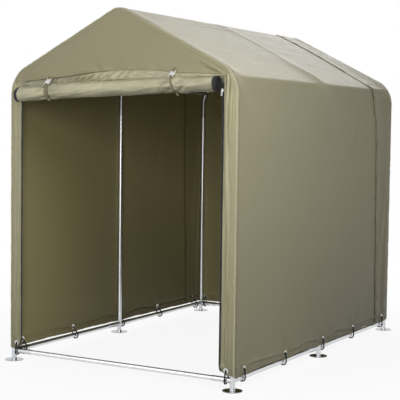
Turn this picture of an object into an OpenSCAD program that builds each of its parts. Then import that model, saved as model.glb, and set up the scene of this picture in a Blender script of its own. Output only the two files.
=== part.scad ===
// Portable bike shelter: a slip-together steel tube frame on six disc feet,
// a fabric cover stretched over it and a front door panel rolled up under the gable.
// Millimetres. +X is the right-hand side, -Y is the open front, +Z is up, and Z = 0 is the ground.

/* [Frame] */
// Width between the centre lines of the left and right posts
frame_w = 1220; // [1000:10:1800]
// Depth between the centre lines of the front and back posts
frame_d = 1830; // [1400:10:2600]
// Height where the centre lines of post and rafter would meet
eave_h = 1379; // [1100:1:1900]
// Pitch of the roof in degrees
roof_pitch = 26.7; // [15:0.1:40]
// Bend radius of the eave elbows, on the tube's centre line
eave_r = 136; // [90:1:180]
// Bend radius of the ridge elbows, on the tube's centre line
ridge_r = 76; // [50:1:120]

/* [Tubes] */
// Outside diameter of posts, rafters and sockets
tube_d = 25; // [19:0.5:38]
// Wall thickness of every tube
tube_wall = 1; // [0.8:0.1:2]
// Radial clearance where one tube slips into another
slip_gap = 0.3; // [0.2:0.05:0.5]
// Length of tube held inside a socket, post or rafter
slip_len = 50; // [35:1:60]
// Straight leg of an elbow between its bend and the tube that it slips into
elbow_leg = 82; // [40:1:110]
// Length of the rail sockets on the elbows, from the frame's centre plane
rail_socket_len = 80; // [75:1:110]

/* [Feet] */
// Diameter of a foot plate
foot_d = 90; // [70:1:140]
// Thickness of a foot plate
foot_t = 3; // [2:0.5:6]
// Height of the sill rails' centre line
sill_z = 47; // [40:1:60]
// Height of the shoulder on which a post stands
post_seat = 76; // [74:1:110]
// Length of a foot's rail socket, from the post's centre line
foot_socket_len = 105; // [85:1:140]

/* [Cover] */
// Thickness of the cover's fabric
cover_t = 1.5; // [1:0.1:3]
// Clearance between the fabric and the tubes
cover_gap = 0.3; // [0.2:0.1:1]
// Height of the cover's hem above the ground
hem_z = 61; // [58:1:66]
// Width of the band of the back panel that wraps onto the roof and the walls
band_w = 250; // [180:5:400]
// Overlap of the back band on the main cover
band_lap = 25; // [10:1:50]
// Width of the fixed fabric borders beside the doorway
border_w = 71; // [65:1:120]
// Height of the seam between the gable panel and the borders
gable_z = 1366; // [1150:1:1370]
// Height of the lower edge of the gable's flap, to which the door is sewn
flap_z = 1306; // [1100:1:1320]

/* [Rolled door] */
// Diameter of the rolled-up door
roll_d = 72; // [50:1:100]
// Height of the roll's centre line at its left end
roll_left_z = 1295; // [1150:1:1325]
// Height of the roll's centre line at its right end
roll_right_z = 1338; // [1150:1:1345]
// Distance of the roll's ends from the centre lines of the posts
roll_inset = 65; // [63:1:140]
// Width of the straps that hold the roll
strap_w = 24; // [10:1:40]
// Thickness of the straps
strap_t = 1.5; // [1:0.1:3]
// Distance of the left strap from the middle of the front
left_strap_x = 360; // [150:1:420]
// Distance of the right strap from the middle of the front
right_strap_x = 330; // [150:1:420]
// Rise of a buckle from the top of the roll to the gable
buckle_rise = 30; // [15:1:45]
// Width of a buckle
buckle_w = 25; // [14:1:30]
// Thickness of a buckle
buckle_t = 2.5; // [1.5:0.5:4]
// Width of the zip tapes beside the doorway
zip_w = 11; // [8:1:18]
// Thickness of the zip tapes
zip_t = 1.2; // [0.8:0.1:2]
// Height of the zips' lower ends above the hem
zip_rise = 24; // [10:1:60]
// Length of a zip slider
slider_len = 12; // [8:1:16]
// Width of a zip slider
slider_w = 9; // [6:0.5:12]
// Thickness of a zip slider
slider_t = 4; // [3:0.5:6]
// Length of the pull tab below its slider
tab_len = 26; // [15:1:40]
// Width of the pull tab
tab_w = 7; // [4:0.5:9]
// Thickness of the pull tab
tab_t = 1.6; // [1:0.1:2.5]

/* [Eyelets and elastic loops] */
// Height of the eyelets above the ground
eyelet_z = 89; // [86:1:92]
// Outside diameter of an eyelet's flange
eyelet_d = 24; // [16:1:30]
// Diameter of an eyelet's hole
eyelet_hole = 10; // [8:0.5:12]
// Thickness of an eyelet's flange
eyelet_t = 1; // [0.6:0.1:2]
// Distance of the side walls' end eyelets from the corner posts
eyelet_side_in = 80; // [50:1:110]
// Distance of the front and back eyelets from the corner posts
eyelet_end_in = 26; // [20:1:35]
// Diameter of the elastic cord
elastic_d = 5; // [3:0.5:6]

/* [Hidden] */

// Smoothness of round parts
$fn = 64;
// Segments in each bend of the fabric
bend_steps = 10;
// Overshoot of a cut past the surface that it opens
cut = 1;

// Tubes: the slip tube fits inside the main tube
tube_r = tube_d / 2;
slip_d = tube_d - 2 * (tube_wall + slip_gap);

// Half sizes and the centre of the eave bend and the ridge bend
half_w = frame_w / 2;
half_d = frame_d / 2;
apex_h = eave_h + half_w * tan(roof_pitch);
eave_turn = 90 - roof_pitch;
eave_tangent = eave_r * tan(eave_turn / 2);
eave_centre = [half_w - eave_r, eave_h - eave_tangent];
ridge_tangent = ridge_r * tan(roof_pitch);
ridge_centre = [0, apex_h - ridge_r / cos(roof_pitch)];
slope_len = half_w / cos(roof_pitch) - eave_tangent - ridge_tangent;
rafter_len = slope_len - 2 * elbow_leg;
post_top = eave_centre[1] - elbow_leg;

// Elbows: how much thinner the bend is drawn, how far a leg runs onto it, and the eave rails' place
bend_draw = 0.1;
leg_start = 0.5;
eave_seat = eave_centre + eave_r * [cos(eave_turn / 2), sin(eave_turn / 2)];

// Cover: offsets of its faces from the centre lines of the frame, and its middle planes
lap_gap = 0.2;
cover_in = tube_r + cover_gap;
cover_out = cover_in + cover_t;
band_in = cover_out + lap_gap;
band_out = band_in + cover_t;
cover_mid = (cover_in + cover_out) / 2;
band_mid = (band_in + band_out) / 2;
front_y = -half_d - cover_out;
border_in = half_w + cover_out - border_w;
main_back = half_d - band_w + band_lap;
band_front = half_d - band_w;

// Rolled door: its axis stands off the gable panel by its radius and the strap behind it
seat_gap = 0.3;
roll_r = roll_d / 2;
roll_half = half_w - roll_inset;
roll_y = front_y - seat_gap - strap_t - seat_gap - roll_r;
roll_mid_z = (roll_left_z + roll_right_z) / 2;
roll_tilt = atan((roll_right_z - roll_left_z) / (2 * roll_half));
strap_places = [-left_strap_x, right_strap_x];

// Zips: their ends, and the height of the sliders
zip_foot = hem_z + zip_rise;
zip_top = gable_z - 10;
pull_z = roll_right_z - 30;

// Eyelets: a barrel with 2 mm of wall, and flanges that clear the fabric
flange_gap = 0.1;
barrel_d = eyelet_hole + 4;
barrel_hole_d = barrel_d + 0.4;

// Elastic loops: the cord turns through the eyelet clear of its flanges
elastic_r = elastic_d / 2;
hem_gap = 0.4;
loop_turn_r = cover_t / 2 + flange_gap + eyelet_t + elastic_r + 0.25;
loop_reach = loop_turn_r + elastic_r;
loop_steps = 10;
turn_steps = 6;
loop_sides = 8;

// Plan shift that puts the origin under the middle of the overall outline
front_reach = -roll_y + roll_r + seat_gap + strap_t;
back_reach = half_d + max(foot_d / 2, cover_mid + loop_reach);
centre_shift = (front_reach - back_reach) / 2;

// Distances of the eyelets along each side
side_eyelet_end = half_d - eyelet_side_in;
side_eyelets = [-side_eyelet_end, -side_eyelet_end / 2, tube_r + elastic_d + 4,
    side_eyelet_end / 2, side_eyelet_end];
end_eyelet = half_w - eyelet_end_in;
back_eyelets = [-end_eyelet, -end_eyelet / 3, end_eyelet / 3, end_eyelet];

steel = [0.80, 0.81, 0.82];
fitting = [0.70, 0.71, 0.73];
cloth = [0.58, 0.56, 0.46];
cloth_light = [0.66, 0.64, 0.53];
cloth_dark = [0.45, 0.42, 0.31];
black = [0.08, 0.08, 0.08];

// Every piece is drawn about the plan centre of the frame and then placed by this
module place() {
    translate([0, centre_shift, 0]) children();
}

// Points of the frame's outline at a distance off from the centre lines, from right eave to left eave
function right_bends(off) = concat(
    [for (i = [0 : bend_steps]) let (a = eave_turn * i / bend_steps)
        eave_centre + (eave_r + off) * [cos(a), sin(a)]],
    [for (i = [0 : bend_steps - 1]) let (a = eave_turn + roof_pitch * i / bend_steps)
        ridge_centre + (ridge_r + off) * [cos(a), sin(a)]]);
function flipped(points) = [for (i = [len(points) - 1 : -1 : 0]) [-points[i][0], points[i][1]]];
function reversed(points) = [for (i = [len(points) - 1 : -1 : 0]) points[i]];
function roof_line(off) = concat(right_bends(off), [ridge_centre + [0, ridge_r + off]],
    flipped(right_bends(off)));

// Extrudes an outline drawn in X and Z from y0 to y1
module along_y(y0, y1) {
    translate([0, y1, 0]) rotate([90, 0, 0]) linear_extrude(y1 - y0) children();
}

// A tube along +Z, standing on z = 0
module tube(d, len) {
    difference() {
        cylinder(d = d, h = len);
        translate([0, 0, -cut]) cylinder(d = d - 2 * tube_wall, h = len + 2 * cut);
    }
}

module tube_y(d, y0, y1) {
    translate([0, y0, 0]) rotate([-90, 0, 0]) tube(d, y1 - y0);
}

module tube_x(d, x0, x1) {
    translate([x0, 0, 0]) rotate([0, 90, 0]) tube(d, x1 - x0);
}

// Socket along a horizontal direction, with a blind bore for a slip tube
module socket(angle, len) {
    rotate([0, 0, angle]) rotate([0, 90, 0]) cylinder(d = tube_d, h = len);
}
module socket_bore(angle, len) {
    start = tube_r + tube_wall;
    rotate([0, 0, angle]) translate([start, 0, 0]) rotate([0, 90, 0])
        cylinder(d = tube_d - 2 * tube_wall, h = len - start + cut);
}

// Foot: a disc plate, an upright with a spigot for the post, and sockets for the sill rails
module foot(x, y, angles) {
    bore_d = slip_d - 2 * tube_wall;
    color(fitting) place() translate([x, y, 0]) difference() {
        union() {
            cylinder(d = foot_d, h = foot_t);
            cylinder(d = tube_d, h = post_seat);
            cylinder(d = slip_d, h = post_seat + slip_len);
            for (a = angles) translate([0, 0, sill_z]) socket(a, foot_socket_len);
        }
        translate([0, 0, sill_z + tube_r + tube_wall]) cylinder(d = bore_d, h = post_seat + slip_len);
        for (a = angles) translate([0, 0, sill_z]) socket_bore(a, foot_socket_len);
    }
}

module front_left_foot() { foot(-half_w, -half_d, [0, 90]); }
module front_right_foot() { foot(half_w, -half_d, [180, 90]); }
module middle_left_foot() { foot(-half_w, 0, [90, -90]); }
module middle_right_foot() { foot(half_w, 0, [90, -90]); }
module back_left_foot() { foot(-half_w, half_d, [0, -90]); }
module back_right_foot() { foot(half_w, half_d, [180, -90]); }

// Sill rails slip into the sockets of the feet
module cross_sill(y) {
    reach = half_w - foot_socket_len + slip_len;
    color(steel) place() translate([0, y, sill_z]) tube_x(slip_d, -reach, reach);
}
module side_sills(x) {
    inset = foot_socket_len - slip_len;
    color(steel) place() translate([x, 0, sill_z]) {
        tube_y(slip_d, -half_d + inset, -inset);
        tube_y(slip_d, inset, half_d - inset);
    }
}

module front_sill_rail() { cross_sill(-half_d); }
module back_sill_rail() { cross_sill(half_d); }
module left_sill_rails() { side_sills(-half_w); }
module right_sill_rails() { side_sills(half_w); }

// Posts stand on the shoulders of the feet and take the legs of the eave elbows
module post(x, y) {
    color(steel) place() translate([x, y, post_seat]) tube(tube_d, post_top - post_seat);
}

module front_left_post() { post(-half_w, -half_d); }
module front_right_post() { post(half_w, -half_d); }
module middle_left_post() { post(-half_w, 0); }
module middle_right_post() { post(half_w, 0); }
module back_left_post() { post(-half_w, half_d); }
module back_right_post() { post(half_w, half_d); }

// Bent rod in the XZ plane about its bend centre: an arc between two straight legs.
// The bend draws the tube slightly thinner, and each leg runs a little way onto it.
module bent_rod(d, r, from, turn, leg) {
    rotate([90, 0, 0]) rotate([0, 0, from]) rotate_extrude(angle = turn)
        translate([r, 0]) circle(d = d - bend_draw);
    rotate([0, -from, 0]) translate([r, 0, -leg]) cylinder(d = d, h = leg + leg_start);
    rotate([0, -from - turn, 0]) translate([r, 0, -leg_start]) cylinder(d = d, h = leg + leg_start);
}

// Elbow with rail sockets at the middle of its bend, on the sides given by their angles
module elbow(r, from, turn, angles) {
    leg = elbow_leg + slip_len;
    mid = from + turn / 2;
    seat = [r * cos(mid), 0, r * sin(mid)];
    difference() {
        union() {
            bent_rod(slip_d, r, from, turn, leg);
            for (a = angles) translate(seat) socket(a, rail_socket_len);
        }
        bent_rod(slip_d - 2 * tube_wall, r, from, turn, leg + cut);
        for (a = angles) translate(seat) socket_bore(a, rail_socket_len);
    }
}

module eave_elbows(y, angles) {
    color(fitting) place() translate([0, y, 0]) for (side = [0, 1]) mirror([side, 0, 0])
        translate([eave_centre[0], 0, eave_centre[1]]) elbow(eave_r, 0, eave_turn, angles);
}

module front_eave_elbows() { eave_elbows(-half_d, [90]); }
module middle_eave_elbows() { eave_elbows(0, [90, -90]); }
module back_eave_elbows() { eave_elbows(half_d, [-90]); }

// Rafters slip over the elbows' legs
module rafters(y) {
    color(steel) place() translate([0, y, 0]) for (side = [0, 1]) mirror([side, 0, 0])
        translate([eave_centre[0], 0, eave_centre[1]]) rotate([0, -eave_turn, 0])
            translate([eave_r, 0, elbow_leg]) tube(tube_d, rafter_len);
}

module front_rafters() { rafters(-half_d); }
module middle_rafters() { rafters(0); }
module back_rafters() { rafters(half_d); }

module ridge_elbow(y, angles) {
    color(fitting) place() translate([0, y, ridge_centre[1]])
        elbow(ridge_r, eave_turn, 2 * roof_pitch, angles);
}

module front_ridge_elbow() { ridge_elbow(-half_d, [90]); }
module middle_ridge_elbow() { ridge_elbow(0, [90, -90]); }
module back_ridge_elbow() { ridge_elbow(half_d, [-90]); }

// A front and a back rail that slip into the elbows' sockets
module rail_pair(x, z) {
    inset = rail_socket_len - slip_len;
    color(steel) place() translate([x, 0, z]) {
        tube_y(slip_d, -half_d + inset, -inset);
        tube_y(slip_d, inset, half_d - inset);
    }
}

module left_eave_rails() { rail_pair(-eave_seat[0], eave_seat[1]); }
module right_eave_rails() { rail_pair(eave_seat[0], eave_seat[1]); }
module ridge_rails() { rail_pair(0, ridge_centre[1] + ridge_r); }

// Hole in a side wall for each eyelet's barrel, and its hole in a front or back wall
module side_holes(places) {
    for (y = places) translate([0, y, eyelet_z]) rotate([0, 90, 0])
        cylinder(d = barrel_hole_d, h = 4 * half_w, center = true);
}
module end_holes(places) {
    for (x = places) translate([x, 0, eyelet_z]) rotate([90, 0, 0])
        cylinder(d = barrel_hole_d, h = 4 * half_d, center = true);
}

// Side wall fabric, from the hem to the start of the eave bend
module wall_cover(side) {
    x0 = side > 0 ? half_w + cover_in : -half_w - cover_out;
    y0 = -half_d - cover_in;
    color(cloth) place() difference() {
        translate([x0, y0, hem_z]) cube([cover_t, main_back - y0, eave_centre[1] - hem_z]);
        side_holes([for (y = side_eyelets) if (y < main_back) y]);
    }
}

module left_wall_cover() { wall_cover(-1); }
module right_wall_cover() { wall_cover(1); }

// Roof fabric, one sheet over both eaves and the ridge
module roof_cover() {
    color(cloth_light) place() along_y(-half_d - cover_in, main_back)
        polygon(concat(roof_line(cover_out), reversed(roof_line(cover_in))));
}

// Back panel: the end wall, and its band that laps over the main cover
module back_panel() {
    edge = half_w + band_out;
    color(cloth) place() difference() {
        along_y(half_d + cover_in, half_d + cover_out)
            polygon(concat([[edge, hem_z]], roof_line(band_out), [[-edge, hem_z]]));
        end_holes(back_eyelets);
    }
}
module back_band() {
    outer = half_w + band_out;
    inner = half_w + band_in;
    color(cloth) place() difference() {
        along_y(band_front, half_d + cover_in)
            polygon(concat([[outer, hem_z]], roof_line(band_out), [[-outer, hem_z], [-inner, hem_z]],
                reversed(roof_line(band_in)), [[inner, hem_z]]));
        side_holes([for (y = side_eyelets) if (y > main_back) y]);
    }
}

// Front gable panel: the gable above the seam, and its flap between the borders
module front_gable_panel() {
    edge = half_w + cover_out;
    color(cloth) place() along_y(front_y, front_y + cover_t) {
        intersection() {
            polygon(concat([[edge, hem_z]], roof_line(cover_out), [[-edge, hem_z]]));
            translate([-2 * edge, gable_z]) square([4 * edge, apex_h]);
        }
        translate([-border_in, flap_z]) square([2 * border_in, gable_z - flap_z + 1]);
    }
}

// Fixed borders on both sides of the doorway
module border(side) {
    x0 = side > 0 ? border_in : -half_w - cover_out;
    color(cloth_light) place() difference() {
        translate([x0, front_y, hem_z]) cube([border_w, cover_t, gable_z - hem_z]);
        end_holes([side * end_eyelet]);
    }
}

module front_left_border() { border(-1); }
module front_right_border() { border(1); }

// Turns a shape along +X at the middle of the front onto the roll's sloping axis
module on_roll() {
    place() translate([0, roll_y, roll_mid_z]) rotate([0, -roll_tilt, 0]) children();
}

module rolled_door() {
    len = 2 * roll_half / cos(roll_tilt);
    color(cloth_light) on_roll() translate([-len / 2, 0, 0]) rotate([0, 90, 0])
        cylinder(d = roll_d, h = len);
}

// Straps round the roll
module roll_straps() {
    in_r = roll_r + seat_gap;
    color(cloth_dark) on_roll() for (x = strap_places) translate([x - strap_w / 2, 0, 0])
        rotate([0, 90, 0]) difference() {
            cylinder(r = in_r + strap_t, h = strap_w);
            translate([0, 0, -cut]) cylinder(r = in_r, h = strap_w + 2 * cut);
        }
}

// Metal buckles, each a slotted tab that leans from the gable down onto its strap
module roll_buckles() {
    strap_top = roll_r + strap_t + 2 * seat_gap;
    run = front_y - seat_gap - roll_y;
    len = norm([run, buckle_rise]);
    slot_w = buckle_w / 5;
    color(steel) place() for (x = strap_places)
        translate([x, roll_y, roll_mid_z + x * tan(roll_tilt) + strap_top])
            rotate([atan(buckle_rise / run), 0, 0]) linear_extrude(buckle_t) difference() {
                translate([-buckle_w / 2, 0]) square([buckle_w, len]);
                translate([-buckle_w / 2 + slot_w, slot_w]) square([buckle_w - 2 * slot_w, slot_w]);
            }
}

// Zip tapes on the inner edges of the borders
module door_zips() {
    color(black) place() for (x = [-border_in, border_in])
        translate([x - zip_w / 2, front_y - zip_t, zip_foot]) cube([zip_w, zip_t, zip_top - zip_foot]);
}

// Slider and pull tab at the top of each zip, beside the ends of the roll
module zip_pulls() {
    color(steel) place() for (x = [-border_in, border_in])
        translate([x, front_y - zip_t, pull_z]) {
            translate([-slider_w / 2, -slider_t, 0]) cube([slider_w, slider_t, slider_len]);
            translate([-tab_w / 2, -slider_t, -tab_len]) cube([tab_w, tab_t, tab_len + slider_len / 2]);
        }
}

// Eyelet about the +X axis, its barrel through fabric whose middle plane is at x = 0
module eyelet() {
    face = cover_t / 2 + flange_gap;
    rotate([0, 90, 0]) rotate_extrude() difference() {
        translate([eyelet_hole / 2, -face - eyelet_t])
            square([(eyelet_d - eyelet_hole) / 2, 2 * (face + eyelet_t)]);
        translate([barrel_d / 2, -face]) square([eyelet_d, 2 * face]);
    }
}

// Middle plane of the side fabric at a place along the wall
function side_mid(y) = y > main_back ? band_mid : cover_mid;

module eyelets() {
    color(steel) place() translate([0, 0, eyelet_z]) {
        for (y = side_eyelets, side = [0, 180])
            rotate([0, 0, side]) translate([half_w + side_mid(y), side == 0 ? y : -y, 0]) eyelet();
        for (x = [-end_eyelet, end_eyelet])
            rotate([0, 0, -90]) translate([half_d + cover_mid, x, 0]) eyelet();
        for (x = back_eyelets)
            rotate([0, 0, 90]) translate([half_d + cover_mid, -x, 0]) eyelet();
    }
}

// Elastic loop in the XZ plane about the rail's centre: its route runs round the rail,
// up the outside of the fabric, in through the eyelet and back over the rail
function loop_route(mid) = let (
        big = mid + cover_t / 2 + hem_gap + elastic_r,
        top = [mid, eyelet_z - sill_z - loop_turn_r],
        lean = atan2(top[1], top[0]),
        spread = acos((big - loop_turn_r) / norm(top)))
    concat(
        [for (i = [0 : loop_steps]) let (a = lean + spread - (2 * spread - 360) * i / loop_steps)
            big * [cos(a), sin(a)]],
        [for (i = [0 : turn_steps]) let (a = lean - spread + 2 * spread * i / turn_steps)
            top + loop_turn_r * [cos(a), sin(a)]]);

// Closed round cord along a flat route in the XZ plane
module closed_cord(route, r) {
    n = len(route);
    rings = [for (i = [0 : n - 1])
        let (ahead = route[(i + 1) % n], behind = route[(i + n - 1) % n], way = ahead - behind,
            out = [way[1], -way[0]] / norm(way))
        for (k = [0 : loop_sides - 1]) let (a = 360 * k / loop_sides, p = route[i] + r * cos(a) * out)
            [p[0], r * sin(a), p[1]]];
    faces = [for (i = [0 : n - 1], k = [0 : loop_sides - 1])
        let (a = i * loop_sides, b = ((i + 1) % n) * loop_sides, m = (k + 1) % loop_sides)
            [a + k, a + m, b + m, b + k]];
    polyhedron(rings, faces);
}

module elastic_loops() {
    color(black) place() translate([0, 0, sill_z]) {
        for (y = side_eyelets, side = [0, 180])
            rotate([0, 0, side]) translate([half_w, side == 0 ? y : -y, 0])
                closed_cord(loop_route(side_mid(y)), elastic_r);
        for (x = [-end_eyelet, end_eyelet])
            rotate([0, 0, -90]) translate([half_d, x, 0]) closed_cord(loop_route(cover_mid), elastic_r);
        for (x = back_eyelets)
            rotate([0, 0, 90]) translate([half_d, -x, 0]) closed_cord(loop_route(cover_mid), elastic_r);
    }
}

front_left_foot();
front_right_foot();
middle_left_foot();
middle_right_foot();
back_left_foot();
back_right_foot();
front_sill_rail();
back_sill_rail();
left_sill_rails();
right_sill_rails();
front_left_post();
front_right_post();
middle_left_post();
middle_right_post();
back_left_post();
back_right_post();
front_eave_elbows();
middle_eave_elbows();
back_eave_elbows();
front_rafters();
middle_rafters();
back_rafters();
front_ridge_elbow();
middle_ridge_elbow();
back_ridge_elbow();
left_eave_rails();
right_eave_rails();
ridge_rails();
left_wall_cover();
right_wall_cover();
roof_cover();
back_panel();
back_band();
front_gable_panel();
front_left_border();
front_right_border();
rolled_door();
roll_straps();
roll_buckles();
door_zips();
zip_pulls();
eyelets();
elastic_loops();
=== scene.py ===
import math

import bmesh
import bpy
import numpy as np
from mathutils import Matrix, Vector


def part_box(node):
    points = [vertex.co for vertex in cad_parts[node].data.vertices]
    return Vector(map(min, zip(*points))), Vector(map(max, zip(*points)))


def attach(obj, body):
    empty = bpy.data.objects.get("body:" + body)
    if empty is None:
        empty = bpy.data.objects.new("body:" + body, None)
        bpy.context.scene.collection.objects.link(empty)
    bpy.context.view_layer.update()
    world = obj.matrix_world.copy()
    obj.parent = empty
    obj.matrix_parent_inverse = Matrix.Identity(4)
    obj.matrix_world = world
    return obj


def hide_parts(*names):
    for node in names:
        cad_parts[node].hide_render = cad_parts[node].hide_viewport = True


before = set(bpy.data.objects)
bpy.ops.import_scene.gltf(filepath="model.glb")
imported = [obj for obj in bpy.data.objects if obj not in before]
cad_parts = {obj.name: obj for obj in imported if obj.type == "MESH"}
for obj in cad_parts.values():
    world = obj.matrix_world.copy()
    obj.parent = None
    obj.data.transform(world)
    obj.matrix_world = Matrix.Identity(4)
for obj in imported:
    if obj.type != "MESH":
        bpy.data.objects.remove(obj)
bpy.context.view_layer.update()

# ---------------------------------------------------------------- positions
# Everything is in metres in the model's own frame: +X right, -Y front, +Z up.


def middle(node, axis):
    """Middle of a CAD node's box along one axis."""
    low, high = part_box(node)
    return (low[axis] + high[axis]) / 2


HALF_W = middle("front_right_post", 0)
FRONT_Y = middle("front_right_post", 1)
MIDDLE_Y = middle("middle_right_post", 1)
BACK_Y = middle("back_right_post", 1)
BAY = MIDDLE_Y - FRONT_Y
HEM_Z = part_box("right_wall_cover")[0].z
COVER_T = 0.0015
COVER_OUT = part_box("right_wall_cover")[1].x - HALF_W
COVER_MID = COVER_OUT - COVER_T / 2
BAND_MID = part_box("back_band")[1].x - HALF_W - COVER_T / 2
FACE_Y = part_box("front_gable_panel")[0].y

# The frame's outline: half a ridge bend, a roof slope, an eave bend and a wall
PITCH = math.radians(26.7)
EAVE_R, RIDGE_R = 0.136, 0.076
EAVE_X, EAVE_Z = HALF_W - EAVE_R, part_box("right_wall_cover")[1].z
RIDGE_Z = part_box("roof_cover")[1].z - COVER_OUT - RIDGE_R
RIDGE_END = RIDGE_R * PITCH
SLOPE = (EAVE_X + EAVE_R * math.sin(PITCH) - RIDGE_R * math.sin(PITCH)) / math.cos(PITCH)
SLOPE_END = RIDGE_END + SLOPE
EAVE_END = SLOPE_END + EAVE_R * (math.pi / 2 - PITCH)
WALL = EAVE_Z - HEM_Z
OUTLINE = EAVE_END + WALL

# Rails that the cover is stretched over between the frames
EAVE_RAIL = (middle("right_eave_rails", 0), middle("right_eave_rails", 2))
RIDGE_RAIL = (0.0, middle("ridge_rails", 2))
RAIL_R = (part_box("ridge_rails")[1].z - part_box("ridge_rails")[0].z) / 2

# Doorway, roll and trim
BORDER_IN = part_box("front_right_border")[0].x
ZIP_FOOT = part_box("door_zips")[0].z + 0.028
ZIP_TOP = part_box("door_zips")[1].z
CORNER_R = 0.050  # the borders' rounded lower corners
roll_low, roll_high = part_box("rolled_door")
ROLL_R = (roll_high.y - roll_low.y) / 2
ROLL_Y = (roll_high.y + roll_low.y) / 2
ROLL_HALF = roll_high.x
ROLL_Z = (roll_low.z + ROLL_R, roll_high.z - ROLL_R)
EYELET_Z = middle("eyelets", 2)
SILL_Z = middle("right_sill_rails", 2)
PLAN_Y = (FRONT_Y + BACK_Y) / 2
SIDE_REACH, END_REACH = 0.835, 0.584  # from the middle of a side or an end to its last eyelet
MIDDLE_SHIFT = 0.0215
SIDE_EYELETS = [PLAN_Y + y for y in (-SIDE_REACH, -SIDE_REACH / 2, MIDDLE_SHIFT,
                                     SIDE_REACH / 2, SIDE_REACH)]
FRONT_EYELETS = [-END_REACH, END_REACH]
BACK_EYELETS = [-END_REACH, -END_REACH / 3, END_REACH / 3, END_REACH]
STRAP_W = (0.026, 0.012)
# Where each strap crosses the roll: at its top, its front and underneath
STRAPS = ((-0.372, -0.357, -0.352), (0.310, 0.331, 0.343))
# Height of the fold above the door where it meets each border
SEAM_LEFT, SEAM_RIGHT = 1.357, 1.380


# ---------------------------------------------------------------- small tools
NOISE_CELLS = 128


def noise(u, v, seed):
    """Smooth value noise from -1 to 1, one cell a unit; with v = 0 it runs along u only."""
    table = np.random.default_rng(seed).uniform(-1, 1, (NOISE_CELLS, NOISE_CELLS))
    u, v = np.broadcast_arrays(u, v)
    i, j = np.floor(u).astype(int), np.floor(v).astype(int)
    a, b = u - i, v - j
    a, b = a * a * (3 - 2 * a), b * b * (3 - 2 * b)

    def at(di, dj):
        return table[(i + di) % NOISE_CELLS, (j + dj) % NOISE_CELLS]

    return (at(0, 0) * (1 - a) + at(1, 0) * a) * (1 - b) + (at(0, 1) * (1 - a) + at(1, 1) * a) * b


def folds(u, v, seed):
    """Sharp-topped folds, 0 to 1, for creased cloth."""
    return (1 - np.abs(noise(u, v, seed))) ** 3


def bell(distance, reach):
    """1 at no distance, about a third at the reach, on both sides."""
    return np.exp(-((distance / reach) ** 2))


def fade(distance, reach):
    """1 up to no distance, then falling to a third at each reach."""
    return np.exp(-np.maximum(distance, 0) / reach)


def step(x, low, high):
    """Smoothly from 0 at low to 1 at high."""
    t = np.clip((x - low) / (high - low), 0, 1)
    return t * t * (3 - 2 * t)


CLOSEST = 0.0006  # rows nearer than this to the one before are left out


def spaced(low, high, gap, *extra):
    """Values about gap apart, with the extra ones put in."""
    values = np.linspace(low, high, max(2, round((high - low) / gap) + 1))
    extra = np.concatenate([np.ravel(x) for x in (*extra, [])])
    values = np.unique(np.concatenate([values, extra[(extra > low) & (extra < high)]]))
    keep = [values[0]]
    for value in values[1:]:
        if value - keep[-1] > CLOSEST:
            keep.append(value)
    return np.array(keep)


def outline(s):
    """Centre-line point and outward normal of the frame's outline, s along it from the ridge."""
    a, side = np.abs(s), np.where(np.asarray(s) < 0, -1.0, 1.0)
    on = [a < RIDGE_END, a < SLOPE_END, a < EAVE_END]
    turn = np.select(on, [a / RIDGE_R, PITCH + 0 * a, PITCH + (a - SLOPE_END) / EAVE_R],
                     math.pi / 2)
    run, down = (a - RIDGE_END) * math.cos(PITCH), (a - RIDGE_END) * math.sin(PITCH)
    x = np.select(on, [RIDGE_R * np.sin(turn), RIDGE_R * math.sin(PITCH) + run,
                       EAVE_X + EAVE_R * np.sin(turn)], HALF_W)
    z = np.select(on, [RIDGE_Z + RIDGE_R * np.cos(turn), RIDGE_Z + RIDGE_R * math.cos(PITCH) - down,
                       EAVE_Z + EAVE_R * np.cos(turn)], EAVE_Z - (a - EAVE_END))
    return side * x, z, side * np.sin(turn), np.cos(turn)


def outline_at(z):
    """Distance along the right half of the outline to a height."""
    slope_top = RIDGE_Z + RIDGE_R * math.cos(PITCH)
    bend_top = EAVE_Z + EAVE_R * math.cos(PITCH)
    z = np.asarray(z, float)
    return np.select(
        [z <= EAVE_Z, z <= bend_top, z <= slope_top],
        [EAVE_END + EAVE_Z - z,
         SLOPE_END + EAVE_R * (np.arccos(np.clip((z - EAVE_Z) / EAVE_R, -1, 1)) - PITCH),
         RIDGE_END + (slope_top - z) / math.sin(PITCH)],
        RIDGE_R * np.arccos(np.clip((z - RIDGE_Z) / RIDGE_R, -1, 1)))


def placed(name, data):
    """A new object in the scene."""
    obj = bpy.data.objects.new(name, data)
    bpy.context.scene.collection.objects.link(obj)
    return obj


def grid(name, points, uv, tone=1.0, ring=False, flip=False, crumple=1.0):
    """A sheet from a grid of points, with the attributes that the cloth materials read.

    With ring its second direction closes on itself.
    """
    n, m = points.shape[:2]
    i, j = np.meshgrid(np.arange(n - 1), np.arange(m if ring else m - 1), indexing="ij")
    i, j = i.ravel(), j.ravel()
    order = [(0, 0), (1, 0), (1, 1), (0, 1)][::-1 if flip else 1]
    faces = np.stack([(i + a) * m + (j + b) % m for a, b in order], 1)
    corners = np.stack([uv[i + a, j + b] for a, b in order], 1)
    mesh = bpy.data.meshes.new(name)
    mesh.from_pydata(points.reshape(-1, 3).tolist(), [], faces.tolist())
    layer = mesh.uv_layers.new(name="cloth")
    layer.uv.foreach_set("vector", corners.astype(np.float32).ravel())
    for key, values in (("tone", tone), ("crumple", crumple)):
        marks = mesh.attributes.new(key, "FLOAT", "POINT").data
        marks.foreach_set("value", np.broadcast_to(values, (n, m)).astype(np.float32).ravel())
    mesh.polygons.foreach_set("use_smooth", np.ones(len(faces), bool))
    return placed(name, mesh)


def edit(mesh, *changes):
    """Puts a mesh through changes that work on a bmesh."""
    bm = bmesh.new()
    bm.from_mesh(mesh)
    for change in changes:
        change(bm)
    bm.to_mesh(mesh)
    bm.free()


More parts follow.
